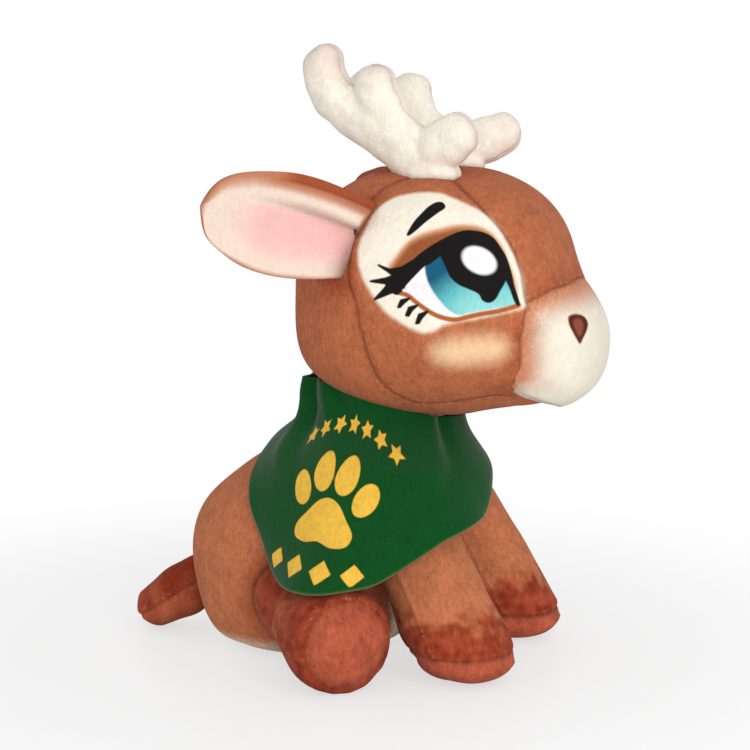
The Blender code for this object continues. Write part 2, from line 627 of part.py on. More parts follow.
class Deer:
    """Builds the deer's pieces. Each method adds one group, and keeps the room it takes in its neighbours."""

    def __init__(self):
        self.maker = Maker()
        self.torso = self.maker.pivot("torso_pivot", Vector())
        self.head = self.maker.pivot("head_pivot", NECK, self.torso)
        self.floor = [("DIFFERENCE", self.maker.half_space("floor", Vector(), (0, 0, -1)))]
        self.inside = -SKIN - STUFFING_GAP
        self.torso_rooms, self.head_rooms, self.carriers = [], [], []

    def limb(self, name, form, root, radius, axis, angles):
        """A limb's pivot, its open skin as a helper, and its stuffing."""
        maker = self.maker
        hung = maker.pivot(f"{name}_pivot", root, self.torso)
        start, end = Vector(form.start), Vector(form.end)
        opening = maker.half_space(f"{name}_opening", root.lerp(start, 0.55), start - root)
        inner = maker.form(f"{name}_inner", form.grown(-SKIN), LIMB_MESH)
        steps = [("DIFFERENCE", inner), ("DIFFERENCE", opening)]
        shell = maker.form(f"{name}_shell", form, LIMB_MESH, steps + self.floor)
        fill = maker.form(f"{name}_fill", form.grown(self.inside), FILL_MESH)
        maker.piece(f"{name}_stuffing", fill, FILLING, hung)
        radii = [radius] * 3
        self.torso_rooms.append(maker.room(f"{name}_room", form, root, radii, axis, angles))
        return hung, shell

    def leg(self, name, side, form, root, radius, foot, facing, pad, axis, angles):
        """A leg: its skin, its sole and its stuffing."""
        maker = self.maker
        root, foot, facing = mirrored(root, side), mirrored(foot, side), mirrored(facing, side).normalized()
        form = form.on_side(side)
        hung, shell = self.limb(name, form, root, radius, axis, [angle * side for angle in angles])
        seam = foot - facing * pad
        below = maker.half_space(f"{name}_below", seam - facing * SEAM_GAP, facing)
        above = maker.half_space(f"{name}_above", seam, -facing)
        maker.piece(f"{name}_skin", shell, BROWN, hung, [("DIFFERENCE", below)])
        maker.piece(f"{name}_sole", shell, DARK_BROWN, hung, [("DIFFERENCE", above)])
        return form

    def carry(self, name, form, root, axis, angle):
        """Has the neckerchief lie clear of a leg at rest and at its outer limit."""
        self.carriers.append(self.maker.form(f"{name}_whole", form, LIMB_MESH))
        swung = self.maker.turned(form, LIMB_MESH, f"{name}_swung", root, axis, [angle])
        self.carriers.append(swung[0][1])

    def legs(self):
        """The four legs."""
        down, outward = Vector((0, 0, -1)), Vector((1, -1, 0))
        front = leg_form(SHOULDER, FRONT_ROOT_RADIUS, FRONT_FOOT, FRONT_FOOT_RADIUS, down)
        hind = leg_form(HIP, HIND_ROOT_RADIUS, HIND_FOOT, HIND_FOOT_RADIUS, outward)
        for side, word in ((1, "left"), (-1, "right")):
            name = f"front_leg_{word}"
            axis = Vector((-side, 0, 0))
            root = (SHOULDER, FRONT_ROOT_RADIUS)
            form = self.leg(name, side, front, *root, FRONT_FOOT, down, FRONT_PAD, axis, FRONT_LEG_SWING[:1])
            self.carry(name, form, mirrored(SHOULDER, side), axis, FRONT_LEG_SWING[1] * side)
            axis = Vector((0, 0, 1))
            root = (HIP, HIND_ROOT_RADIUS)
            name = f"hind_leg_{word}"
            form = self.leg(name, side, hind, *root, HIND_FOOT, outward, HIND_PAD, axis, HIND_LEG_SWING)
            self.carry(name, form, mirrored(HIP, side), axis, HIND_LEG_SWING[1] * side)

    def tail(self):
        """The tail."""
        axis = Vector((1, 0, 0))
        hung, shell = self.limb("tail", tail_form(), TAIL_ROOT, TAIL_ROOT_RADIUS, axis, TAIL_LIFT)
        self.maker.piece("tail_skin", shell, DARK_BROWN, hung)

    def body(self):
        """The torso's two panels and its stuffing."""
        maker, form = self.maker, torso_form()
        inner = maker.form("torso_inner", form.grown(-SKIN), TORSO_MESH)
        neck = maker.half_space("neck_opening", NECK + Vector((0, 0, NECK_OPENING)), (0, 0, 1))
        steps = [("DIFFERENCE", inner), ("DIFFERENCE", neck)]
        shell = maker.form("torso_shell", form, TORSO_MESH, steps + self.torso_rooms + self.floor)
        half = [(across * BELLY_WIDTH / 2, up * TORSO_HEIGHT) for across, up in BELLY_SHARES]
        corners = half + [(-across, up) for across, up in half[::-1]]
        belly = maker.prism("belly_seam", corners, -CUT_OVERRUN, -BELLY_BACK, 1)
        wide = widened(corners, SEAM_GAP)
        beside = maker.prism("belly_beside", wide, -CUT_OVERRUN, -BELLY_BACK + SEAM_GAP, 1)
        maker.piece("belly_panel", shell, CREAM, self.torso, [("INTERSECT", belly)])
        maker.piece("torso_back_panel", shell, BROWN, self.torso, [("DIFFERENCE", beside)])
        fill = maker.form("torso_fill", form.grown(self.inside), CORE_MESH, self.torso_rooms)
        maker.piece("torso_stuffing", fill, FILLING, self.torso)
        self.carriers.append(maker.form("torso_whole", form, TORSO_MESH))

    def ears(self):
        """The two ears, each a back cloth and a lining."""
        maker = self.maker
        for side, word in ((1, "left"), (-1, "right")):
            root = mirrored(EAR_ROOT, side)
            hung = maker.pivot(f"ear_{word}_pivot", root, self.head)
            for layer, what, look in ((-1, "outer", BROWN), (1, "lining", PINK)):
                cloth = maker.form(f"ear_{word}_{what}_form", ear_form(layer).on_side(side), EAR_MESH)
                maker.piece(f"ear_{word}_{what}", cloth, look, hung)
            axis = mirrored(ear_frame()[1], side)
            radii = (EAR_THICKNESS / 2, EAR_THICKNESS / 2, EAR_SHARES[0][1] * EAR_WIDTH / 2)
            form, angles = ear_form().on_side(side), (-EAR_TURN, EAR_TURN)
            room = maker.room(f"ear_{word}_room", form, root, radii, axis, angles, EAR_ROOM)
            self.head_rooms.append(room)

    def antlers(self):
        """The two antlers."""
        maker = self.maker
        for side, word, lean, reach in (
            (1, "left", LEFT_ANTLER_LEAN, LEFT_TINE_REACH),
            (-1, "right", RIGHT_ANTLER_LEAN, RIGHT_TINE_REACH),
        ):
            root = mirrored(ANTLER_ROOT, side)
            hung = maker.pivot(f"antler_{word}_pivot", root, self.head)
            whole = {}
            skin = ("outer", 0, ANTLER_MESH), ("inner", -SKIN, ANTLER_MESH)
            for what, by, size in (*skin, ("fill", self.inside, FILL_MESH)):
                beam, *tines = [form.on_side(side).grown(by) for form in antler_forms(lean, reach)]
                name = f"antler_{word}_{what}"
                joined = [("UNION", maker.form(f"{name}_{i}", tine, size)) for i, tine in enumerate(tines)]
                whole[what] = maker.form(name, beam, size, joined)
            beam = antler_forms(lean, reach)[0].on_side(side)
            start = Vector(beam.start)
            cut = maker.half_space(f"antler_{word}_opening", root.lerp(start, 0.5), start - root)
            steps = [("DIFFERENCE", whole["inner"]), ("DIFFERENCE", cut)]
            maker.piece(f"antler_{word}_skin", whole["outer"], CREAM, hung, steps)
            maker.piece(f"antler_{word}_stuffing", whole["fill"], FILLING, hung)
            axis, angles = Vector((0, 1, 0)), (-ANTLER_TURN, ANTLER_TURN)
            radii = (ANTLER_THICKNESS / 2, ANTLER_THICKNESS / 2, ANTLER_ROOT_LENGTH / 2)
            room = maker.room(f"antler_{word}_room", beam, root, radii, axis, angles, ANTLER_ROOM)
            self.head_rooms.append(room)

    def face(self):
        """The head's panels, its muzzle and its stuffing."""
        maker, form, nose = self.maker, head_form(), muzzle_form()
        angles = (-HEAD_NOD[0], -HEAD_NOD[1])
        swept = maker.turned(torso_form(), TORSO_MESH, "neck_room", NECK, Vector((1, 0, 0)), angles)
        neck_room = [maker.socket("neck_socket", NECK, NECK_RADIUS + SOCKET_CLEARANCE), *swept]
        rooms = self.head_rooms + neck_room
        hollow = ("DIFFERENCE", maker.form("head_inner", form.grown(-SKIN), HEAD_MESH))
        nose_hollow = ("DIFFERENCE", maker.form("muzzle_inner", nose.grown(-SKIN), HEAD_MESH))
        nose_room = ("DIFFERENCE", maker.form("muzzle_room", nose.grown(SEAM_GAP), HEAD_MESH))
        muzzle = maker.form("muzzle_shell", nose, HEAD_MESH, [hollow, nose_hollow] + neck_room)
        maker.piece("muzzle", muzzle, CREAM, self.head)
        shell = maker.form("head_shell", form, HEAD_MESH, [hollow, nose_room] + rooms)
        shell = maker.cutter("head_panels", result(shell))
        deep, high = HEAD_DEPTH / 2, HEAD_HEIGHT / 2
        seam = [(HEAD.y + back * deep, HEAD.z + up * high) for back, up in BACK_SEAM_SHARES]
        corners = [*seam, (seam[-1][0], 0), (CUT_OVERRUN, 0), (CUT_OVERRUN, seam[0][1])]
        back = maker.prism("back_seam", corners, -CUT_OVERRUN, CUT_OVERRUN, 0)
        ahead = maker.prism("back_beside", widened(corners, SEAM_GAP), -CUT_OVERRUN, CUT_OVERRUN, 0)
        half = [(across * GUSSET_WIDTH / 2, HEAD.z + up * high) for across, up in GUSSET_SHARES]
        corners = half + [(-across, up) for across, up in half[::-1]]
        gusset = maker.prism("gusset_seam", corners, -CUT_OVERRUN, CUT_OVERRUN, 1)
        beside = maker.prism("gusset_beside", widened(corners, SEAM_GAP), -CUT_OVERRUN, CUT_OVERRUN, 1)
        maker.piece("head_back_panel", shell, BROWN, self.head, [("INTERSECT", back)])
        steps = [("DIFFERENCE", ahead), ("INTERSECT", gusset)]
        maker.piece("forehead_gusset", shell, BROWN, self.head, steps)
        for side, word in ((1, "left"), (-1, "right")):
            away = maker.half_space(f"{word}_away", Vector(), (-side, 0, 0))
            steps = [("DIFFERENCE", other) for other in (ahead, beside, away)]
            maker.piece(f"face_panel_{word}", shell, BROWN, self.head, steps)
        nose_fill = ("UNION", maker.form("muzzle_fill", nose.grown(self.inside), CORE_MESH))
        fill = maker.form("head_fill", form.grown(self.inside), CORE_MESH, [nose_fill] + rooms)
        maker.piece("head_stuffing", fill, FILLING, self.head)

    def neckerchief(self):
        """The neckerchief, over the torso and the front legs."""
        cloth = self.maker.cutter("kerchief_form", kerchief_mesh(self.carriers))
        self.maker.piece("neckerchief", cloth, GREEN, self.torso)


def main():
    clear_scene()
    deer = Deer()
    deer.legs()
    deer.tail()
    deer.body()
    deer.ears()
    deer.antlers()
    deer.face()
    deer.neckerchief()


main()
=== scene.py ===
"""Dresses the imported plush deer: soft panels, printed face, neckerchief, floor, lamps and camera.

Lengths are in metres, +Z is up and the deer faces -Y. Printed outlines are in millimetres on charts that
follow the cloth, so that they stay in place on it.
"""

import logging
import math
from collections.abc import Iterable, Sequence
from dataclasses import dataclass, field
from enum import Enum

import bmesh
import bpy
import numpy as np
from mathutils import Matrix, Vector
from mathutils.bvhtree import BVHTree

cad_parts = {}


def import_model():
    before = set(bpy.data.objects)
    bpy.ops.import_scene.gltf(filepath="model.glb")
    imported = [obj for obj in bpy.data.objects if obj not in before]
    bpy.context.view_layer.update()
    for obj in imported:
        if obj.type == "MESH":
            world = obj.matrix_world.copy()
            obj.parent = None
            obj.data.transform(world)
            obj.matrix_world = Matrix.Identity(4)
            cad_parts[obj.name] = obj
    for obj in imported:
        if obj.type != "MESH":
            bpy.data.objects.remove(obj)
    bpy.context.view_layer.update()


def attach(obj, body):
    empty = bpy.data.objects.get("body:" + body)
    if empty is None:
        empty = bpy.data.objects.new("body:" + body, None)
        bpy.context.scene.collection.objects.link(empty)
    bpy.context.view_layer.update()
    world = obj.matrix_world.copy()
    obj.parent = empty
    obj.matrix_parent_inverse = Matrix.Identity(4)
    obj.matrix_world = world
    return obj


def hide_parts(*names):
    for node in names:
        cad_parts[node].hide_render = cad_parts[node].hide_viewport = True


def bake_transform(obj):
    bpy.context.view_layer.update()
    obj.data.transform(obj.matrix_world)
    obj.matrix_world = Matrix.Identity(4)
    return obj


MM = 0.001
# How far the lowest points stay off the floor
FLOOR_GAP = 0.15 * MM
# Widths in millimetres of the dark line along a seam, and of the painted shade where a limb is sewn on
SEAM_WIDTH = 0.7
ROOT_WIDTH = 1.5
# A distance in millimetres that stands for anything out of reach of a print or a seam
FAR = 20.0
Array = np.ndarray
Triple = tuple[float, float, float]
Colour = Triple
Outline = Sequence[tuple[float, float]]
Window = tuple[float, float, float, float]
log = logging.getLogger("plush_deer")


class Side(Enum):
    """The deer's own left, towards +X, or right."""

    LEFT = 1
    RIGHT = -1

    @property
    def word(self) -> str:
        """The side's name in bodies and nodes."""
        return self.name.lower()

    def pick(self, pair: tuple[float, float]) -> float:
        """This side's value of a pair for the right and the left."""
        return pair[self is Side.LEFT]


def rgb(red: int, green: int, blue: int) -> Colour:
    """A display colour of 0 to 255 a channel as linear light."""
    shares = [channel / 255 for channel in (red, green, blue)]
    return tuple(s / 12.92 if s <= 0.04045 else ((s + 0.055) / 1.055) ** 2.4 for s in shares)


def ease(values: Array, low: float, high: float) -> Array:
    """A smooth step from 0 at low to 1 at high."""
    share = np.clip((values - low) / (high - low), 0, 1)
    return share * share * (3 - 2 * share)


def bell(values: Array, width: float) -> Array:
    """A hump that is 1 at 0 and fades over a width."""
    return np.exp(-((values / width) ** 2))


def ripple(points: Array, wave: float, seed: int, count: int = 14) -> Array:
    """A soft random field over space.

    Args:
        points: places, one a row.
        wave: the typical distance from crest to crest.
        seed: picks the field.
        count: how many plane waves are summed.

    Returns:
        A value of about -1 to 1 for each place.
    """
    draw = np.random.default_rng(seed)
    ways = draw.normal(size=(count, 3))
    ways *= (draw.uniform(0.7, 1.4, count) * math.tau / wave / np.linalg.norm(ways, axis=1))[:, None]
    return np.sin(points @ ways.T + draw.uniform(0, math.tau, count)).sum(axis=1) / math.sqrt(count)


def distance(points: Array, line: Array) -> Array:
    """The distance of points to a line, in two or three dimensions.

    Args:
        points: places, one a row.
        line: the line's own points.

    Returns:
        A distance for each place.
    """
    best = np.full(len(points), np.inf)
    for start, end in zip(line[:-1], line[1:]):
        along = end - start
        share = np.clip((points - start) @ along / (along @ along), 0, 1)
        best = np.minimum(best, np.linalg.norm(points - start - share[:, None] * along, axis=1))
    return best


def flowing(corners: Outline, closed: bool = True, steps: int = 5) -> Array:
    """A smooth curve through corners.

    Args:
        corners: the points that it passes through.
        closed: whether it returns to its start.
        steps: points from each corner to the next.

    Returns:
        The curve's points, one a row.
    """
    rows = np.array(corners, float)
    held = np.vstack([rows[-1:], rows, rows[:2]]) if closed else np.vstack([rows[:1], rows, rows[-1:]])
    made = []
    for a, b, c, d in zip(held, held[1:], held[2:], held[3:]):
        for share in np.arange(steps) / steps:
            bend = (2 * a - 5 * b + 4 * c - d) * share**2 + (3 * b - 3 * c + d - a) * share**3
            made.append(b + ((c - a) * share + bend) / 2)
    made.append(rows[0] if closed else rows[-1])
    return np.array(made)


def signed(points: Array, outline: Array) -> Array:
    """The distance of flat points to a closed outline.

    Args:
        points: places, one a row.
        outline: the outline's points, the first one again at its end.

    Returns:
        A distance for each place, negative inside.
    """
    inside = np.zeros(len(points), bool)
    x, y = points.T
    for (x1, y1), (x2, y2) in zip(outline[:-1], outline[1:]):
        if y1 != y2:
            inside ^= ((y1 > y) != (y2 > y)) & (x < (x2 - x1) * (y - y1) / (y2 - y1) + x1)
    return np.where(inside, -1, 1) * distance(points, outline)


def within(across: Array, up: Array, window: Window) -> Array:
    """Which chart places lie in a window, given as from and to across and then up."""
    start, end, low, high = window
    return (across > start) & (across < end) & (up > low) & (up < high)


def fillet(gaps: Array, reach: float) -> Array:
    """How far two forms swell beside their join, from each place's gap to the other form."""
    return reach / 4 * np.maximum(1 - gaps / reach, 0) ** 2


@dataclass(frozen=True)
class Oval:
    """A printed oval: its middle and half axes in millimetres on a chart, and its lean in degrees."""

    across: float
    up: float
    wide: float
    high: float
    lean: float

    def signed(self, across: Array, up: Array) -> Array:
        """The distance of chart places to it.

        Args:
            across: how far across each place is.
            up: how far up.

        Returns:
            A distance for each place, negative inside.
        """
        turn = math.radians(self.lean)
        right, above = across - self.across, up - self.up
        first = (right * math.cos(turn) + above * math.sin(turn)) / self.wide
        second = (above * math.cos(turn) - right * math.sin(turn)) / self.high
        return (np.hypot(first, second) - 1) * min(self.wide, self.high)


class Value:
    """A socket of a material that takes part in sums."""

    def __init__(self, board: "Board", socket: bpy.types.NodeSocket) -> None:
        """Wraps a socket of a board."""
        self.board, self.socket = board, socket

    def _sum(self, operation: str, first: "Value | float", second: "Value | float") -> "Value":
        """One Math node."""
        return self.board.node("ShaderNodeMath", {"operation": operation}, {0: first, 1: second})

    def __add__(self, other: "Value | float") -> "Value":
        """Adds."""
        return self._sum("ADD", self, other)

    __radd__ = __add__

    def __sub__(self, other: "Value | float") -> "Value":
        """Takes away."""
        return self._sum("SUBTRACT", self, other)

    def __rsub__(self, other: float) -> "Value":
        """Takes this away from a number."""
        return self._sum("SUBTRACT", other, self)

    def __mul__(self, other: "Value | float") -> "Value":
        """Multiplies."""
        return self._sum("MULTIPLY", self, other)

    __rmul__ = __mul__

    def between(self, low: float, high: float) -> "Value":
        """A smooth step.

        Args:
            low: where it is 0. It may be the larger.
            high: where it is 1.

        Returns:
            The step.
        """
        start, end = (0.0, 1.0) if low < high else (1.0, 0.0)
        settings = {"interpolation_type": "SMOOTHSTEP", "clamp": True}
        inputs = {"Value": self, "From Min": min(low, high), "From Max": max(low, high)}
        return self.board.node("ShaderNodeMapRange", settings, {**inputs, "To Min": start, "To Max": end})


class Board:
    """The nodes of a material or of the world."""

    def __init__(self, owner: bpy.types.Material | bpy.types.World) -> None:
        """Clears the owner's nodes.

        Args:
            owner: the material or the world.
        """
        self.owner = owner
        owner.use_nodes = True
        self.tree = owner.node_tree
        self.tree.nodes.clear()

    def node(self, kind: str, settings: dict, inputs: dict, output: int | str = 0) -> Value:
        """Adds a node.

        Args:
            kind: the node's type.
            settings: its own settings, set first. "stops" holds a ramp's places and colours.
            inputs: values or links of its sockets, by name or number.
            output: the socket that is returned.

        Returns:
            That output.
        """
        made = self.tree.nodes.new(kind)
        for key, value in settings.items():
            if key != "stops":
                setattr(made, key, value)
                continue
            ramp = made.color_ramp
            while len(ramp.elements) < len(value):
                ramp.elements.new(1)
            for element, (place, colour) in zip(ramp.elements, value):
                element.position, element.color = place, (*colour, 1)
        for key, value in inputs.items():
            if isinstance(value, Value):
                self.tree.links.new(value.socket, made.inputs[key])
            else:
                made.inputs[key].default_value = value
        return Value(self, made.outputs[output])

    def mark(self, name: str) -> Value:
        """A number that the mesh holds for each of its points."""
        return self.node("ShaderNodeAttribute", {"attribute_name": name}, {}, "Fac")

    def mix(
        self, first: Value | Colour, second: Value | Colour, share: Value | float, blend: str = "MIX"
    ) -> Value:
        """Blends two colours.

        Args:
            first: the colour underneath.
            second: the colour on top.
            share: how much of the top shows.
            blend: how the top is laid on.

        Returns:
            The colour.
        """
        sides = [side if isinstance(side, Value) else (*side, 1) for side in (first, second)]
        settings = {"data_type": "RGBA", "blend_type": blend}
        return self.node("ShaderNodeMix", settings, {0: share, 6: sides[0], 7: sides[1]}, 2)

    def noise(self, size: float, detail: float = 2, rough: float = 0.5, stretch: Triple = (1, 1, 1)) -> Value:
        """Cloud noise in the piece's own space.

        Args:
            size: its features, in metres.
            detail: how many finer clouds lie in it.
            rough: how strong those are.
            stretch: how dense it is along each axis.

        Returns:
            The noise, about 0.5 on average.
        """
        place = self.node("ShaderNodeTexCoord", {}, {}, "Object")
        scaled = self.node("ShaderNodeVectorMath", {"operation": "MULTIPLY"}, {0: place, 1: stretch})
        inputs = {"Vector": scaled, "Scale": 1 / size, "Detail": detail, "Roughness": rough}
        return self.node("ShaderNodeTexNoise", {}, inputs)

    def bump(self, height: Value, depth: float, strength: float = 1) -> Value:
        """A normal from a height of 0 to 1."""
        return self.node("ShaderNodeBump", {}, {"Strength": strength, "Distance": depth, "Height": height})

    def mark_between(self, name: str, low: float, high: float) -> Value:
        """A smooth step over a mark of the mesh."""
        return self.mark(name).between(low, high)

    def close(self, shader: Value) -> None:
        """Links the shader to the owner's surface."""
        kind = "World" if isinstance(self.owner, bpy.types.World) else "Material"
        end = self.tree.nodes.new(f"ShaderNodeOutput{kind}")
        self.tree.links.new(shader.socket, end.inputs["Surface"])


@dataclass(frozen=True)
class Layer:
    """A colour that lies over those before it.

    A printed layer's mark is a signed distance in millimetres, and edge is half the width over which its
    ink fades. An airbrushed layer has no edge, and its mark is the share of colour; some of these also
    hold painted shade where parts meet.
    """

    mark: str
    colour: Colour
    edge: float = 0.0
    strength: float = 1.0


@dataclass(frozen=True)
class Plush:
    """Short-pile cloth: a base colour, airbrushed and printed layers with painted shade, and a brushed nap.
    """

    name: str
    base: Colour
    layers: tuple[Layer, ...] = ()
    fleck: Colour = rgb(226, 170, 138)
    crush: float = 0.55
    crush_size: float = 8 * MM
    grain: float = 0.85
    tuft_size: float = 1.8 * MM
    fibre_size: float = 0.5 * MM
    fleck_size: float = 1.2 * MM
    seam_shade: float = 0.45
    pile: float = 0.55 * MM
    sheen: float = 0.05

    def coloured(self, board: Board) -> Value | Colour:
        """The layers over the base, before the nap.

        Args:
            board: the material's nodes.

        Returns:
            The colour.
        """
        colour: Value | Colour = self.base
        for layer in self.layers:
            share = board.mark(layer.mark)
            if layer.edge:
                share = share.between(layer.edge, -layer.edge)
            colour = board.mix(colour, layer.colour, share * layer.strength)
        return colour

    def napped(self, board: Board) -> Value | float:
        """How far the nap shades each place."""
        return 1.0

    def material(self) -> bpy.types.Material:
        """Builds the cloth's nodes.

        Returns:
            The material.
        """
        board = Board(bpy.data.materials.new(self.name))
        colour = self.coloured(board)
        crushed = board.noise(self.crush_size, 3, 0.6)
        tufts = board.noise(self.tuft_size, 3, 0.65, (1, 1, 0.6))
        fibres = board.noise(self.fibre_size, 2, 0.7, (1, 1, 0.55))
        tone = (crushed - 0.5) * self.crush + (tufts - 0.5) * self.grain + (fibres - 0.5) * self.grain
        tone = tone * self.napped(board) + 1
        # Seams darken here, and so does the painted shade where parts meet and in creases
        tone = tone * (1 - board.mark("seam") * self.seam_shade)
        grey = board.node("ShaderNodeCombineXYZ", {}, {0: tone, 1: tone, 2: tone})
        colour = board.mix(colour, grey, 1.0, "MULTIPLY")
        fleck = board.mark("ridge") * board.noise(self.fleck_size, 3).between(0.53, 0.68)
        colour = board.mix(colour, self.fleck, fleck * 0.6)
        height = fibres * 0.6 + tufts * 0.8 + crushed * 0.5
        inputs = {
            "Base Color": colour,
            "Roughness": 1.0,
            "Specular IOR Level": 0.05,
            "Sheen Weight": self.sheen,
            "Sheen Roughness": 0.45,
            "Normal": board.bump(height, self.pile, 0.8),
        }
        board.close(board.node("ShaderNodeBsdfPrincipled", {}, inputs))
        return board.owner


class Surface:
    """A closed mesh as arrays, with marks that its material reads."""

    def __init__(self, points: Array, faces: list[list[int]]) -> None:
        """Starts it with no marks.

        Args:
            points: corner places, one a row.
            faces: the corners of each face.
        """
        self.points, self.faces = points, faces
        self.marks: dict[str, Array] = {}
        quads = [face for face in faces if len(face) == 4]
        split = [[(a, b, c), (a, c, d)] for a, b, c, d in quads]
        triangles = [pair for both in split for pair in both] + [f for f in faces if len(f) == 3]
        self.triangles = np.array(triangles, np.int64)
        self._edges: Array | None = None

    @classmethod
    def outward(cls, points: Array, faces: list[list[int]]) -> "Surface":
        """A surface whose faces all look out.

        Args:
            points: corner places.
            faces: the corners of each face, all in the same sense.

        Returns:
            The surface.
        """
        made = cls(points, faces)
        if np.einsum("ij,ij->i", made.normals(), points - points.mean(axis=0)).sum() < 0:
            made = cls(points, [face[::-1] for face in faces])
        return made

    @classmethod
    def from_mesh(cls, mesh: bmesh.types.BMesh) -> "Surface":
        """Reads and frees a bmesh.

        Args:
            mesh: the bmesh.

        Returns:
            The surface.
        """
        mesh.verts.ensure_lookup_table()
        points = np.array([vert.co for vert in mesh.verts])
        made = cls(points, [[vert.index for vert in face.verts] for face in mesh.faces])
        mesh.free()
        return made

    def edges(self) -> Array:
        """Pairs of neighbouring corners, both ways round.

        Returns:
            The pairs, one a row.
        """
        if self._edges is None:
            pairs = np.array([[face[i - 1], face[i]] for face in self.faces for i in range(len(face))])
            self._edges = np.unique(np.concatenate([pairs, pairs[:, ::-1]]), axis=0)
        return self._edges

    def normals(self) -> Array:
        """The outward direction at each corner.

        Returns:
            Directions of length 1, one a row.
        """
        a, b, c = (self.points[self.triangles[:, i]] for i in range(3))
        area = np.cross(b - a, c - a)
        made = np.zeros_like(self.points)
        for i in range(3):
            for axis in range(3):
                made[:, axis] += np.bincount(self.triangles[:, i], area[:, axis], len(self.points))
        return made / np.maximum(np.linalg.norm(made, axis=1), 1e-12)[:, None]

    def push(self, amounts: Array) -> None:
        """Moves each corner outwards."""
        self.points = self.points + self.normals() * amounts[:, None]

    def lump(self, wave: float, seed: int, height: float) -> None:
        """Gives it the stuffing's soft lumps.

        Args:
            wave: the distance from lump to lump, in metres.
            seed: picks where they are.
            height: how high they are, in millimetres.
        """
        self.push(ripple(self.points, wave, seed) * height * MM)

    def stand(self) -> None:
        """Flattens what would reach into the floor."""
        self.points[:, 2] = np.maximum(self.points[:, 2], FLOOR_GAP)

    def relax(self, times: int) -> None:
        """Moves each corner halfway to the middle of its neighbours.

        Args:
            times: how often.
        """
        first, second = self.edges().T
        total = len(self.points)
        count = np.bincount(first, minlength=total)[:, None]
        for _ in range(times):
            near = np.stack([np.bincount(first, self.points[second, i], total) for i in range(3)], 1)
            self.points = self.points + (near / count - self.points) * 0.5

    def tree(self) -> BVHTree:
        """For finding the nearest place on it."""
        return BVHTree.FromPolygons(self.points.tolist(), self.faces)

    def gap(self, other: BVHTree) -> Array:
        """The distance of each corner to another surface."""
        return np.array([other.find_nearest(point)[3] for point in self.points])

    def built(self, name: str, material: bpy.types.Material) -> bpy.types.Object:
        """Makes the object.

        Args:
            name: its name.
            material: its cloth.

        Returns:
            The object, with the marks on its points.
        """
        data = bpy.data.meshes.new(name)
        data.from_pydata(self.points.tolist(), [], self.faces)
        for mark in ("seam", "ridge"):
            self.marks.setdefault(mark, np.zeros(len(self.points)))
        for mark, values in self.marks.items():
            layer = data.attributes.new(mark, "FLOAT", "POINT")
            layer.data.foreach_set("value", values.astype(np.float32))
        data.shade_smooth()
        data.materials.append(material)
        made = bpy.data.objects.new(name, data)
        bpy.context.scene.collection.objects.link(made)
        return made


def ball(count: int) -> Surface:
    """A unit ball of even four-sided faces.

    Args:
        count: faces along each edge of the cube that it is blown up from.

    Returns:
        The ball.
    """
    mesh = bmesh.new()
    bmesh.ops.create_cube(mesh, size=2)
    bmesh.ops.subdivide_edges(mesh, edges=mesh.edges, cuts=count - 1, use_grid_fill=True)
    made = Surface.from_mesh(mesh)
    made.points = np.tan(made.points * math.pi / 4)
    made.points /= np.linalg.norm(made.points, axis=1)[:, None]
    return made


@dataclass
class Form:
    """A soft form through slices, with a rounded cap out to a point at each end.

    A slice is a row of its middle and its two half axes.
    """

    start: Array
    rows: list[Array]
    end: Array
    fullness: float = 2.0
    slice_steps: int = 24
    cap_steps: int = 40

    @staticmethod
    def slice(middle: Iterable[float], first: Iterable[float], second: Iterable[float]) -> Array:
        """One slice's row."""
        return np.concatenate([np.array(middle), np.array(first), np.array(second)])

    def surface(self, around: int, rings: int) -> Surface:
        """A closed surface of evenly spaced rings.

        Args:
            around: corners of each ring.
            rings: rings from end to end.

        Returns:
            The surface.
        """
        rows = flowing(self.rows, closed=False, steps=self.slice_steps)
        turns = np.linspace(0, math.pi / 2, self.cap_steps)[1:]
        caps = []
        for point, row in ((self.start, rows[0]), (self.end, rows[-1])):
            middles = row[:3] + np.outer(np.sin(turns), point - row[:3])
            caps.append(np.hstack([middles, np.outer(np.cos(turns), row[3:])]))
        rows = np.vstack([caps[0][::-1], rows, caps[1]])
        turn = np.arange(around) * math.tau / around
        waves = np.stack([np.cos(turn), np.sin(turn)])
        waves = np.sign(waves) * np.abs(waves) ** (2 / self.fullness)
        first_axis, second_axis = rows[:, None, 3:6], rows[:, None, 6:9]
        loops = rows[:, None, :3] + waves[0][:, None] * first_axis + waves[1][:, None] * second_axis
        steps = np.linalg.norm(np.diff(loops, axis=0), axis=2).max(axis=1)
        far = np.concatenate([[0], np.cumsum(steps)])
        wanted = np.linspace(0, far[-1], rings + 2)[1:-1]
        place = np.clip(np.searchsorted(far, wanted) - 1, 0, len(far) - 2)
        share = ((wanted - far[place]) / (far[place + 1] - far[place]))[:, None, None]
        even = loops[place] * (1 - share) + loops[place + 1] * share
        points = np.vstack([even.reshape(-1, 3), loops[0, :1], loops[-1, :1]])
        first, last = rings * around, rings * around + 1
        faces = []
        for i in range(around):
            j = (i + 1) % around
            faces.append([first, j, i])
            faces.append([last, (rings - 1) * around + i, (rings - 1) * around + j])
            for k in range(rings - 1):
                low, high = k * around, (k + 1) * around
                faces.append([low + i, low + j, high + j, high + i])
        return Surface.outward(points, faces)


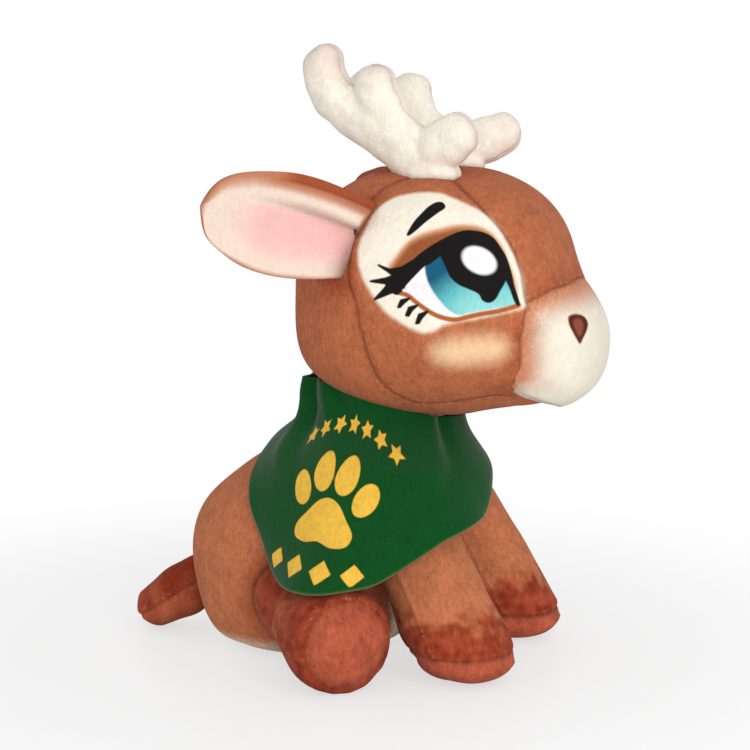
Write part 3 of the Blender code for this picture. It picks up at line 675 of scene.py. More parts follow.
def remeshed(surfaces: Sequence[Surface], size: float) -> Surface:
    """Several surfaces as one skin.

    Args:
        surfaces: closed surfaces that overlap.
        size: the new faces' side.

    Returns:
        The skin.
    """
    points = np.vstack([surface.points for surface in surfaces])
    faces, start = [], 0
    for surface in surfaces:
        faces += [[corner + start for corner in face] for face in surface.faces]
        start += len(surface.points)
    data = bpy.data.meshes.new("skin")
    data.from_pydata(points.tolist(), [], faces)
    holder = bpy.data.objects.new("skin", data)
    bpy.context.scene.collection.objects.link(holder)
    step = holder.modifiers.new("skin", "REMESH")
    step.mode, step.voxel_size, step.adaptivity = "VOXEL", size, 0
    bpy.context.view_layer.update()
    done = bpy.data.meshes.new_from_object(holder.evaluated_get(bpy.context.evaluated_depsgraph_get()))
    mesh = bmesh.new()
    mesh.from_mesh(done)
    bpy.data.objects.remove(holder)
    for used in (data, done):
        bpy.data.meshes.remove(used)
    return Surface.from_mesh(mesh)


def seat(piece: bpy.types.Object, body: str, nodes: Sequence[str]) -> None:
    """Hangs a stuffed piece on its body and reports it.

    Args:
        piece: the piece, in place.
        body: the body that it rides on.
        nodes: the solids that it stands for.
    """
    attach(piece, body)
    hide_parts(*nodes)
    log.info("%s on %s", piece.name, body)


BROWN = rgb(191, 115, 78)
SNOUT = rgb(239, 231, 214)
SNOUT_EDGE = rgb(202, 132, 96)
# Airbrushed rust on the plush, also used for the painted shade where parts meet
RUST_AND_SHADE = rgb(150, 66, 40)
CREAM = rgb(247, 238, 221)
INK = rgb(28, 27, 26)


@dataclass
class Face:
    """The right side's print in millimetres across and up from the head's middle. The left mirrors it."""

    patch: Outline = (
        (95.2, 17.6), (95.3, 23.0), (94.5, 28.1), (93.3, 33.6), (90.6, 38.0), (85.3, 41.6), (77.5, 43.6),
        (69.6, 44.1), (61.7, 43.2), (54.7, 40.0), (48.8, 36.6), (44.3, 33.5), (40.9, 30.4), (38.9, 26.3),
        (37.3, 21.9), (35.4, 16.3), (33.0, 10.1), (32.1, 4.8), (32.1, 0.4), (32.9, -1.2), (40.5, -2.5),
        (47.9, -4.0), (54.4, -5.0), (60.6, -6.6), (64.1, -8.6), (67.4, -9.8), (70.8, -9.3), (74.2, -8.0),
        (78.7, -5.6), (83.0, -2.5), (86.9, 1.8), (90.1, 6.3), (93.4, 11.7),
    )
    shadow: Outline = (
        (84.6, 13.3), (80.6, 20.0), (76.6, 24.8), (70.8, 27.9), (64.1, 29.6), (55.7, 30.8), (47.7, 29.9),
        (41.6, 26.8), (37.6, 21.2), (35.4, 14.3), (33.3, 6.9), (32.7, 0.2), (36.0, -1.4), (50.0, 1.5),
        (66.0, 5.0), (78.0, 6.5), (82.0, 9.0),
    )
    white: Outline = (
        (76.4, 6.3), (72.0, 10.8), (67.3, 16.0), (60.0, 19.0), (52.0, 8.0), (54.0, -2.0), (58.9, -2.9),
        (64.5, -1.6), (71.5, 2.6),
    )
    iris: Outline = (
        (68.0, 15.0), (66.0, 18.0), (60.0, 22.0), (51.3, 23.0), (41.0, 17.3), (37.2, 8.7), (35.1, 0.6),
        (41.6, -0.7), (47.9, -1.5), (52.7, -2.4), (56.0, -3.0), (59.4, -1.3), (62.4, 1.9), (65.3, 5.8),
        (67.3, 10.0),
    )
    pupil: Outline = (
        (62.4, 19.1), (57.9, 22.6), (51.1, 24.0), (44.1, 21.5), (40.0, 15.6), (38.9, 10.5), (39.9, 7.7),
        (41.6, 5.1), (43.4, 2.2), (45.6, 1.1), (47.9, 2.0), (49.3, 4.3), (52.7, 6.0), (56.1, 7.6),
        (58.9, 10.3), (60.6, 14.1),
    )
    lid: Outline = (
        (81.9, 6.0), (77.4, 10.9), (73.3, 15.7), (69.3, 19.2), (64.7, 22.0), (60.5, 24.0), (56.2, 25.6),
        (52.6, 26.2), (49.1, 25.9), (45.4, 24.9), (42.3, 22.9), (40.3, 19.6), (38.6, 16.1), (37.4, 11.7),
        (36.4, 6.7), (35.3, 3.7), (34.2, 0.3), (35.2, -0.4), (36.5, 1.4), (38.1, 5.2), (39.5, 8.2),
        (41.6, 12.7), (44.5, 16.8), (48.5, 19.5), (54.3, 20.1), (59.5, 19.0), (63.2, 17.0), (66.1, 14.9),
        (68.3, 13.9), (72.0, 10.3), (75.7, 6.3), (78.3, 3.6),
    )
    lashes: Sequence[Outline] = (
        (
            (85.9, 13.9), (81.4, 12.6), (76.8, 13.6), (72.0, 16.5), (70.6, 13.5), (74.5, 9.6), (79.7, 10.4),
            (82.4, 12.1),
        ),
        ((88.6, 8.0), (83.1, 9.3), (77.0, 11.6), (74.0, 12.0), (75.7, 6.3), (80.0, 6.2), (83.0, 7.6)),
        ((87.0, 1.5), (83.6, 5.2), (81.0, 8.6), (76.0, 10.0), (76.7, 5.0), (80.3, 4.4)),
        ((77.9, -0.9), (76.8, 1.7), (73.5, 2.6), (75.6, 0.8), (77.0, -0.7)),
        ((74.9, -3.7), (73.7, -0.8), (70.5, 0.2), (72.6, -1.8), (73.8, -3.8)),
        ((71.1, -6.5), (70.0, -3.2), (66.8, -1.9), (68.9, -4.3), (70.0, -6.2)),
    )
    brow: Outline = (
        (75.6, 25.9), (73.3, 30.4), (70.8, 33.3), (67.9, 36.3), (64.3, 38.3), (61.3, 38.2), (60.3, 36.1),
        (63.3, 34.2), (66.3, 32.2), (69.2, 30.1), (72.4, 27.4), (75.0, 25.5),
    )
    rim: Outline = (
        (34.6, -0.2), (41.6, -1.7), (47.9, -2.6), (52.7, -3.6), (56.8, -4.6), (60.6, -4.2), (64.5, -2.9),
        (68.1, -0.8), (71.5, 1.6), (74.5, 3.7), (79.0, 4.6),
    )
    glint: Oval = Oval(48.6, 15.5, 6.4, 4.4, 28.0)
    eye_part: Window = (24, 104, -18, 52)
    cheek_part: Window = (24, 80, -40, 5)
    snout_part: Window = (-1, 50, -60, 20)
    lash_spread: float = 0.4
    brow_spread: float = 0.35
    rim_half: float = 0.8
    cheek: Outline = (
        (64.0, -16.1), (60.3, -13.5), (54.3, -12.4), (46.7, -11.6), (41.4, -12.4), (40.1, -14.7),
        (42.2, -17.3), (47.4, -18.9), (54.5, -20.1), (61.4, -19.8), (63.6, -18.2),
    )
    gusset_seam: Outline = (
        (30.5, -2.0), (31.7, 0.4), (33.0, 9.8), (34.8, 17.2), (37.5, 24.0), (40.9, 30.4), (44.5, 37.7),
        (49.4, 48.1), (50.0, 58.0), (33.1, 68.3),
    )
    back_seam: Outline = (
        (33.1, 68.3), (61.0, 63.3), (85.5, 56.6), (97.7, 49.2), (100.0, 37.1), (99.0, 24.0), (98.0, 8.4),
        (94.9, 0.2), (92.9, -11.4), (91.2, -24.2), (88.4, -33.1), (82.0, -40.0), (71.0, -44.0),
        (50.2, -41.0), (33.0, -35.0), (15.0, -33.0),
    )
    snout: Outline = (
        (0.0, 5.5), (21.0, 3.9), (31.7, 0.4), (34.3, -10.7), (33.3, -23.4), (34.0, -28.0), (29.0, -30.5),
        (15.0, -31.5), (0.0, -32.0),
    )

    def marks(self, across: Array, up: Array) -> dict[str, Array]:
        """The print's marks at places on the chart.

        Args:
            across: millimetres round the head from its front.
            up: millimetres up the head.

        Returns:
            Marks by name, as signed distances in millimetres.
        """
        places = np.stack([across, up], axis=1)
        eye, low = within(across, up, self.eye_part), within(across, up, self.cheek_part)

        def drawn(near: Array, *outlines: Array) -> Array:
            """The distance to the nearest outline, worked out only for the places that are near."""
            far = np.full(len(across), FAR)
            far[near] = np.min([signed(places[near], outline) for outline in outlines], axis=0)
            return far

        printed = {"patch": self.patch, "shadow": self.shadow, "white": self.white, "iris": self.iris}
        made = {name: drawn(eye, flowing(outline)) for name, outline in printed.items()}
        lashes = drawn(eye, *[np.array([*lash, lash[0]]) for lash in self.lashes]) - self.lash_spread
        brow = drawn(eye, flowing(self.brow)) - self.brow_spread
        made["ink"] = np.min([drawn(eye, flowing(self.lid), flowing(self.pupil)), lashes, brow], axis=0)
        made["glint"] = self.glint.signed(across, up)
        made["rim"] = np.full(len(across), FAR)
        made["rim"][eye] = distance(places[eye], flowing(self.rim, closed=False)) - self.rim_half
        made["cheek"] = drawn(low, flowing(self.cheek))
        made["snout"] = self.muzzled(across, up)
        return made

    def muzzled(self, across: Array, up: Array) -> Array:
        """The pale panel round the muzzle.

        Args:
            across: millimetres round the head from its front.
            up: millimetres up the head.

        Returns:
            The distance of each place to it, negative inside it.
        """
        made = np.full(len(across), FAR)
        front = within(across, up, self.snout_part)
        places = np.stack([across, up], axis=1)[front]
        half = np.array(self.snout)
        made[front] = signed(places, np.vstack([half, half[-2::-1] * (-1, 1)]))
        return made


@dataclass
class Globe:
    """A stuffed ball, with a chart of millimetres round it from its front, on either side, and up it."""

    middle: Triple
    half: Triple
    fullness: float
    radius: float
    grid: int
    fillet: float = 14 * MM

    def out(self, ways: Array) -> Array:
        """The place on the smooth form in each direction from its middle."""
        far = (np.abs(ways / np.array(self.half)) ** self.fullness).sum(axis=1) ** (-1 / self.fullness)
        return np.array(self.middle) + ways * far[:, None]

    def chart(self, points: Array) -> tuple[Array, Array]:
        """How far round the chart each place is, and how far up."""
        x, y, z = (points - np.array(self.middle)).T
        return np.arctan2(np.abs(x), -y) * self.radius, np.arctan2(z, np.hypot(x, y)) * self.radius


@dataclass
class Head(Globe):
    """The head's plush without its muzzle.

    Its own fields are the print, the part of the chart with finer faces, and where the back of the cheek
    swells: its place and its widths on the chart, and its height.
    """

    middle: Triple = (0.0, -52 * MM, 141 * MM)
    half: Triple = (49 * MM, 52 * MM, 46.5 * MM)
    fullness: float = 2.4
    radius: float = 50.0
    grid: int = 84
    face: Face = field(default_factory=Face)
    fine: Window = (31, 92, -11, 41)
    jowl: tuple[float, float, float, float, float] = (140, -27, 38, 13, 2.4 * MM)

    def lines(self, outline: Outline) -> list[Array]:
        """A chart line as lines on the head.

        Args:
            outline: the line on the chart.

        Returns:
            It on the right, and on the left.
        """
        across, up = (flowing(outline, closed=False) / self.radius).T
        ways = np.stack([-np.sin(across) * np.cos(up), -np.cos(across) * np.cos(up), np.sin(up)], axis=1)
        right = self.out(ways)
        return [right, right * np.array([-1, 1, 1])]

    def shape(self) -> Surface:
        """The head with its seams drawn in and its cheeks filled.

        Returns:
            The surface.
        """
        made = ball(self.grid)
        across, up = self.chart(made.points + np.array(self.middle))
        inside = within(across, up, self.fine)
        mesh = bmesh.new()
        verts = [mesh.verts.new(point) for point in made.points]
        for face in made.faces:
            mesh.faces.new([verts[i] for i in face])
        mesh.verts.index_update()
        edges = [edge for edge in mesh.edges if all(inside[vert.index] for vert in edge.verts)]
        bmesh.ops.subdivide_edges(mesh, edges=edges, cuts=1, use_grid_fill=True)
        made = Surface.from_mesh(mesh)
        made.points = self.out(made.points / np.linalg.norm(made.points, axis=1)[:, None])
        seams = self.lines(self.face.gusset_seam) + self.lines(self.face.back_seam)
        gap = np.min([distance(made.points, line) for line in seams], axis=0) / MM
        pucker = ripple(made.points, 7 * MM, 3) * bell(gap, 4) * 0.12
        made.push((0.3 + pucker - 0.5 * bell(gap, 1.0) - 0.6 * bell(gap, 6)) * MM)
        made.lump(40 * MM, 5, 0.35)
        across, up = self.chart(made.points)
        place, height, wide, high, swell = self.jowl
        made.push(swell * np.exp(-(((across - place) / wide) ** 2) - ((up - height) / high) ** 2))
        made.marks["seam"] = bell(gap, SEAM_WIDTH)
        return made

    def dressed(self, muzzle: BVHTree, ears: Sequence[BVHTree]) -> None:
        """Marks the airbrushing and the painted shade, and builds the head.

        Args:
            muzzle: the muzzle, which it swells to meet.
            ears: the ears, whose roots it shades.
        """
        made = self.shape()
        marks = made.marks
        across, up = self.chart(made.points)
        marks.update(self.face.marks(across, up), across=across, up=up)
        made.push(fillet(made.gap(muzzle), self.fillet))
        near = made.gap(muzzle) / MM
        roots = np.min([made.gap(ear) for ear in ears], axis=0) / MM
        # This gap stops growing 3 mm from a seam, which leaves an even tone on the rest of the cloth.
        gap = np.sqrt(-np.log(np.maximum(marks["seam"], 1e-9))) * SEAM_WIDTH
        snout = np.abs(marks["snout"])
        # Airbrushed rust at seams, snout, crown and lower head, with painted shade round the ears' roots
        rust = 0.55 * bell(gap, 4.5) + 0.7 * bell(roots, 7)
        rust += 0.5 * ease(up, 48, 66) + 0.4 * bell(snout, 4) + 0.1 * ease(-up, 40, 60)
        marks["rust"] = np.clip(rust, 0, 1) * ease(marks["patch"], -1, 5)
        # Painted shade in the crease under the muzzle, where the head meets it
        chin = bell(near, 1.0) * ease(-up, 22, 30)
        marks["seam"] = np.max([marks["seam"], 0.9 * bell(snout, 0.6), chin], axis=0)
        marks["ridge"] = 0.6 * bell(snout - 1.2, 0.6) + 0.5 * bell(gap - 1.3, 0.6)
        piece = made.built("head_plush", FacePrint().material())
        nodes = ("head_back_panel", "forehead_gusset", "face_panel_left", "face_panel_right", "head_stuffing")
        seat(piece, "head", nodes)


@dataclass(frozen=True)
class FacePrint(Plush):
    """The head's plush with the eyes printed on it."""

    name: str = "printed_plush"
    base: Colour = BROWN
    layers: tuple[Layer, ...] = (Layer("rust", RUST_AND_SHADE, 0, 0.8),)
    cheek: Colour = rgb(244, 204, 162)
    lid_shade: Colour = rgb(214, 156, 112)
    lid_depth: Colour = rgb(150, 82, 46)
    white: Colour = rgb(243, 241, 247)
    iris: tuple = ((0.0, rgb(150, 219, 215)), (0.45, rgb(96, 186, 193)), (1.0, rgb(30, 92, 122)))
    rim: Colour = rgb(178, 98, 52)
    glint: Colour = rgb(240, 240, 248)
    cheek_fade: tuple[float, float] = (6.0, -3.5)
    patch_fade: tuple[float, float] = (1.2, -1.3)

    def napped(self, board: Board) -> Value:
        """Pale print hides most of the nap's shade."""
        pale = board.mark_between("patch", *self.patch_fade) + board.mark_between("cheek", *self.cheek_fade)
        return 1 - pale * 0.7

    def coloured(self, board: Board) -> Value:
        """The airbrushed brown, the cheek, the snout, the cream patch and the eye.

        Args:
            board: the material's nodes.

        Returns:
            The colour.
        """
        colour = super().coloured(board)
        colour = board.mix(colour, self.cheek, board.mark_between("cheek", *self.cheek_fade) * 0.95)
        colour = board.mix(colour, SNOUT_EDGE, board.mark_between("snout", 0.4, -0.4))
        colour = board.mix(colour, SNOUT, board.mark_between("snout", -0.5, -11.0))
        colour = board.mix(colour, CREAM, board.mark_between("patch", *self.patch_fade))
        shadow = board.mark_between("shadow", -0.4, -5.4) * board.mark_between("patch", 0.4, -0.8)
        colour = board.mix(colour, self.lid_shade, shadow.between(0.0, 0.6))
        colour = board.mix(colour, self.lid_depth, shadow.between(0.4, 1.1))
        colour = board.mix(colour, self.white, board.mark_between("white", 0.35, -0.35))
        depth = board.mark_between("up", -2, 17) * 0.75 + board.mark_between("across", 50, 68) * 0.55
        iris = board.node("ShaderNodeValToRGB", {"stops": self.iris}, {"Fac": depth})
        colour = board.mix(colour, iris, board.mark_between("iris", 0.5, -0.5))
        colour = board.mix(colour, self.rim, board.mark_between("rim", 0.45, -0.35))
        colour = board.mix(colour, INK, board.mark_between("ink", 0.32, -0.28))
        return board.mix(colour, self.glint, board.mark_between("glint", 0.6, -0.6))


@dataclass
class Muzzle(Globe):
    """The pale muzzle with its printed nostrils."""

    middle: Triple = (0.0, -93 * MM, 122 * MM)
    half: Triple = (29 * MM, 24 * MM, 24 * MM)
    fullness: float = 2.3
    radius: float = 26.0
    grid: int = 64
    nostril: Outline = (
        (25.0, 12.0), (23.3, 13.1), (20.3, 13.5), (16.7, 12.7), (15.4, 10.4), (16.8, 7.9), (18.9, 5.4),
        (20.6, 3.4), (22.2, 5.2), (24.0, 8.0), (24.9, 9.8),
    )
    nostril_inner: Outline = (
        (23.0, 10.9), (20.3, 12.0), (18.3, 10.5), (19.0, 7.9), (20.8, 5.9), (22.3, 8.0),
    )
    mouth_corner: tuple[float, float] = (43.0, -3.5)
    mouth: Outline = (
        (46.0, -5.4), (43.9, -6.9), (41.6, -10.8), (40.0, -13.8), (36.9, -16.5), (30.8, -21.2), (19.0, -28.5),
    )
    chin: Outline = ((-30.0, -32.0), (-30.0, -60.0), (90.0, -60.0), (90.0, -5.4), (46.0, -5.4))

    def places(self, points: Array) -> Array:
        """Places on the chart, one a row."""
        return np.stack(self.chart(points), axis=1)

    def under(self, places: Array) -> Array:
        """The distance of chart places to the chin, negative on it."""
        return signed(places, np.vstack([flowing(self.mouth, closed=False), np.array(self.chin)]))

    def shape(self) -> Surface:
        """The stuffed form, with a small fold at each corner of the mouth and a chin that falls back.

        Returns:
            The surface.
        """
        made = ball(self.grid)
        made.points = self.out(made.points)
        places = self.places(made.points)
        corner = np.hypot(*(places - self.mouth_corner).T)
        lips = distance(places, flowing(self.mouth, closed=False))
        fold = 1.3 * bell(corner, 3.4) - 0.9 * bell(lips, 1.3)
        fallen = 4.0 * ease(-self.under(places), 0, 5)
        made.push((fold - fallen + ripple(made.points, 26 * MM, 8) * 0.4) * MM)
        return made

    def dressed(self, form: Head, head: BVHTree) -> None:
        """Marks the print and builds the muzzle.

        Args:
            form: the head, whose chart has the pale panel.
            head: its surface, which the muzzle swells to meet.
        """
        made = self.shape()
        marks = made.marks
        places = self.places(made.points)
        made.push(fillet(made.gap(head), self.fillet))
        high = made.points[:, 2] - self.middle[2]
        marks["nostril"] = signed(places, flowing(self.nostril))
        marks["inner"] = signed(places, flowing(self.nostril_inner))
        marks["shade"] = ease(-self.under(places), 0, 3) * ease(places[:, 0], 4, 16)
        snout = form.face.muzzled(*form.chart(made.points))
        marks["brown"] = (1 - ease(-snout, 0.5, 11)) * ease(high, -16 * MM, -8 * MM)
        marks["brown"] *= 1 - ease(made.gap(head) / MM, 8, 14)
        marks["seam"] = bell(distance(places, flowing(self.mouth, closed=False)), 0.8)
        layers = (
            Layer("brown", SNOUT_EDGE),
            Layer("shade", rgb(184, 108, 72)),
            Layer("nostril", rgb(92, 40, 28), 0.5),
            Layer("inner", rgb(150, 84, 62), 0.7, 0.8),
        )
        cloth = Plush("muzzle_plush", SNOUT, layers, grain=0.2, crush=0.14)
        seat(made.built("muzzle_plush", cloth.material()), "head", ("muzzle",))


@dataclass
class Torso:
    """The body, from the floor to the neck.

    A slice is shares of the height, the lean, the width and the depth. The belly's edge is shares of half its
    width and of the height.
    """

    height: float = 98 * MM
    width: float = 88 * MM
    depth: float = 92 * MM
    lean: float = 30 * MM
    neck_radius: float = 24.5 * MM
    belly_width: float = 42 * MM
    slices: Sequence[tuple[float, float, float, float]] = (
        (0.026, 0.00, 0.70, 0.68), (0.07, 0.00, 0.86, 0.84), (0.18, 0.00, 0.96, 0.94),
        (0.39, 0.00, 1.00, 1.00), (0.56, 0.14, 0.94, 0.98), (0.71, 0.45, 0.80, 0.87),
        (0.83, 0.76, 0.64, 0.68), (0.90, 0.95, 0.55, 0.53),
    )
    belly: Outline = (
        (0.3, -0.2), (0.55, 0.05), (0.92, 0.25), (1.0, 0.5), (0.85, 0.75), (0.6, 0.93), (0.5, 1.2),
    )
    belly_starts: float = -12 * MM
    grid: tuple[int, int] = (260, 190)

    def shape(self) -> Surface:
        """The stuffed form, flat where it sits.

        Returns:
            The surface, with its seams drawn in.
        """
        rows = []
        for high, lean, wide, deep in self.slices:
            middle = (0, -lean * self.lean, high * self.height)
            rows.append(Form.slice(middle, (wide * self.width / 2, 0, 0), (0, -deep * self.depth / 2, 0)))
        neck = np.array([0, -self.lean, self.height])
        rows.append(Form.slice(neck, (self.neck_radius, 0, 0), (0, -self.neck_radius, 0)))
        form = Form(np.array([0, 0, -0.5 * MM]), rows, neck + np.array([0, 0, self.neck_radius]))
        made = form.surface(*self.grid)
        across = np.abs(made.points[:, 0])
        half = np.array(self.belly) * np.array([self.belly_width / 2, self.height])
        edge = np.interp(made.points[:, 2], half[:, 1], half[:, 0])
        front = made.points[:, 1] < self.belly_starts
        belly = np.where(front, np.abs(across - edge), 1) / MM
        spine = np.where(made.points[:, 1] > 0, across, 1) / MM
        gap = np.minimum(belly, spine)
        made.push((-0.7 * bell(gap, 1.2) - 0.5 * bell(gap, 5)) * MM)
        made.lump(45 * MM, 11, 0.5)
        made.stand()
        made.marks["seam"] = bell(gap, SEAM_WIDTH)
        made.marks["cream"] = np.where(front, ease(edge - across, -0.3 * MM, 0.3 * MM), 0)
        return made

    def dressed(self, made: Surface, legs: Sequence[BVHTree]) -> None:
        """Marks the airbrushing and the painted shade, and builds the body.

        Args:
            made: the body's surface.
            legs: the legs, whose roots it shades.
        """
        marks = made.marks
        near = np.min([made.gap(leg) for leg in legs], axis=0) / MM
        high = made.points[:, 2] / MM
        marks["cream"] = np.maximum(marks["cream"], (1 - ease(high, 2.5, 11)) * 0.95)
        # Airbrushed rust darker towards the neck, with painted shade beside the legs
        rust = 0.75 * bell(near, 7) + 0.25 * ease(high, 60, 90)
        marks["rust"] = np.clip(rust, 0, 1) * (1 - marks["cream"])
        # Painted shade in the crease where each leg is sewn on
        marks["seam"] = np.maximum(marks["seam"], bell(near, ROOT_WIDTH))
        layers = (Layer("rust", RUST_AND_SHADE, 0, 0.75), Layer("cream", rgb(244, 228, 203)))
        piece = made.built("torso_plush", Plush("body_plush", BROWN, layers).material())
        seat(piece, "torso", ("torso_back_panel", "belly_panel", "torso_stuffing"))


@dataclass(frozen=True)
class LegSizes:
    """A leg on the left side.

    Its sole is at foot and faces one way. A slice is how far along it lies and how much of the foot's girth
    it has. The joint turns round axis, by swing at most. The sole puffs out in its middle and lies inset from
    the skin, in millimetres. Seam is how dark its seam is, and stain how far the rust covers the whole leg.
    """

    name: str
    root: Triple
    root_radius: float
    foot: Triple
    foot_radius: float
    facing: Triple
    pad: float
    axis: Triple
    swing: float
    puff: float
    inset: float
    seam: float
    stain: float
    rust: Colour
    cap: float = 8 * MM
    grid: tuple[int, int] = (180, 140)
    slices: Sequence[tuple[float, float]] = ((0.33, 0.25), (0.62, 0.7), (0.84, 1.15))


class LegKind(Enum):
    """The two kinds of leg."""

    FRONT = LegSizes(
        name="front_leg",
        root=(26 * MM, -45 * MM, 62 * MM),
        root_radius=16.5 * MM,
        foot=(33 * MM, -74 * MM, -0.5 * MM),
        foot_radius=19 * MM,
        facing=(0, 0, -1),
        pad=12 * MM,
        axis=(-1, 0, 0),
        swing=math.radians(12),
        puff=0.5 * MM,
        inset=0.9,
        seam=0.9,
        stain=0.0,
        rust=rgb(168, 72, 46),
    )
    HIND = LegSizes(
        name="hind_leg",
        root=(40 * MM, -9 * MM, 27 * MM),
        root_radius=15.6 * MM,
        foot=(71.5 * MM, -42.5 * MM, 19 * MM),
        foot_radius=19.1 * MM,
        facing=(1, -1, 0),
        pad=3.5 * MM,
        axis=(0, 0, 1),
        swing=math.radians(10),
        puff=2.0 * MM,
        inset=0.2,
        seam=0.5,
        stain=0.8,
        rust=rgb(156, 64, 40),
    )


class Leg:
    """A leg and its puffed sole."""

    def __init__(self, kind: LegKind, side: Side) -> None:
        """Shapes the leg.

        Args:
            kind: front or hind.
            side: the side that it is on.
        """
        self.hind, self.sizes, self.side = kind is LegKind.HIND, kind.value, side
        self.body = f"{self.sizes.name}_{side.word}"
        flip = np.array([side.value, 1, 1])
        self.root, self.foot = np.array(self.sizes.root) * flip, np.array(self.sizes.foot) * flip
        facing = np.array(self.sizes.facing) * flip
        self.facing = facing / np.linalg.norm(facing)
        self.surface = self._shape()
        self.tree = self.surface.tree()

    def _form(self, heading: Array, side: Array) -> Form:
        """The slices from the root to the sole.

        Args:
            heading: the way from the root to the ankle.
            side: the way across the leg.

        Returns:
            The form.
        """
        sizes, root, facing = self.sizes, self.root, self.facing
        ankle = self.foot - facing * sizes.cap
        rows = [Form.slice(root, side * sizes.root_radius, np.cross(heading, side) * sizes.root_radius)]
        for along, grown in sizes.slices:
            radius = sizes.root_radius + (sizes.foot_radius - sizes.root_radius) * grown
            turned = heading + (facing - heading) * along
            turned /= np.linalg.norm(turned)
            middle = root + (ankle - root) * along
            rows.append(Form.slice(middle, side * radius, np.cross(turned, side) * radius))
        rows.append(Form.slice(ankle, side * sizes.foot_radius, np.cross(facing, side) * sizes.foot_radius))
        return Form(root - heading * sizes.root_radius, rows, self.foot)

    def _shape(self) -> Surface:
        """The stuffed form, with its sole's seam and its two side seams.

        Returns:
            The surface, with a mark of how far past the sole's seam each point is.
        """
        sizes, root, foot, facing = self.sizes, self.root, self.foot, self.facing
        ankle = foot - facing * sizes.cap
        heading = (ankle - root) / np.linalg.norm(ankle - root)
        side = np.cross(heading, facing)
        side /= np.linalg.norm(side)
        made = self._form(heading, side).surface(*sizes.grid)
        reach = (made.points - foot) @ facing / MM
        radial = np.linalg.norm(made.points - foot - np.outer(reach * MM, facing), axis=1) / sizes.foot_radius
        pad = reach + sizes.pad / MM
        aside = np.abs((made.points - root) @ np.cross(heading, side)) / MM
        along = (made.points - root) @ heading / MM
        seams = np.where((pad < 0) & (along > 0), aside, FAR)
        pinch = ripple(made.points, 7 * MM, 21) * 0.3 * bell(pad, 5)
        made.push((pinch - 0.7 * bell(pad, 0.8) - sizes.inset * ease(pad, -0.5, 2.5)) * MM)
        made.push(0.45 * bell(seams, 0.9) * MM)
        made.lump(19 * MM, 23, 0.4)
        puff = sizes.puff * np.clip(1 - radial**2, 0, 1) * ease(reach, -sizes.pad / MM, 0)
        made.points = made.points + np.outer(puff, facing)
        made.stand()
        upper = ease(made.points[:, 2] - foot[2], 3 * MM, 12 * MM) if self.hind else 0.5
        made.marks["seam"] = bell(pad, SEAM_WIDTH) * sizes.seam
        made.marks["ridge"] = 0.6 * bell(seams, 0.7) + 0.5 * bell(pad + 1.2, 0.6) * upper
        made.marks["pad"] = pad
        return made

    def swung(self) -> BVHTree:
        """The leg at the outer limit of its joint.

        Returns:
            Its surface, for finding places on it.
        """
        sizes = self.sizes
        axis = Vector(sizes.axis) * (self.side.value if self.hind else 1)
        turn = np.array(Matrix.Rotation(sizes.swing, 3, axis))
        return Surface((self.surface.points - self.root) @ turn.T + self.root, self.surface.faces).tree()

    def dressed(self, torso: BVHTree) -> None:
        """Marks the airbrushing and the painted shade, and builds the leg.

        Args:
            torso: the body, beside which the leg darkens.
        """
        made, sizes = self.surface, self.sizes
        marks, points = made.marks, made.points
        near = made.gap(torso) / MM
        pad = marks.pop("pad")
        rough = ripple(points, 13 * MM, 29) * 3 + ripple(points, 5 * MM, 30) * 1.6
        dark = ease(pad + rough, -17, -8)
        sole = ease(pad, -0.6, 0.6)
        # Airbrushed rust on the lower leg, and rust mixed with painted shade beside the body
        rust = np.maximum(dark, 0.9 * bell(near, 6))
        if self.hind:
            rust = np.maximum(rust, sizes.stain + 0.2 * ripple(points, 20 * MM, 35))
        marks["rust"] = np.clip(rust, 0, 1) * (1 - sole)
        marks["sole"] = sole
        # Painted shade in the crease where the leg is sewn on
        marks["seam"] = np.maximum(marks["seam"], bell(near, ROOT_WIDTH))
        blotch = ripple(points, 8 * MM, 37) * 0.35 + ripple(points, 3.5 * MM, 38) * 0.25 + 0.4
        marks["blotch"] = np.clip(blotch, 0, 1) * np.maximum(dark, sizes.stain) * (0.8 - 0.55 * sole)
        layers = (
            Layer("rust", sizes.rust, 0, 0.94),
            Layer("sole", rgb(184, 92, 66)),
            Layer("blotch", rgb(122, 42, 26)),
        )
        cloth = Plush(f"{sizes.name}_plush", BROWN, layers, crush=0.6)
        piece = made.built(f"{self.body}_plush", cloth.material())
        nodes = [f"{self.body}_{part}" for part in ("skin", "sole", "stuffing")]
        seat(piece, self.body, nodes)


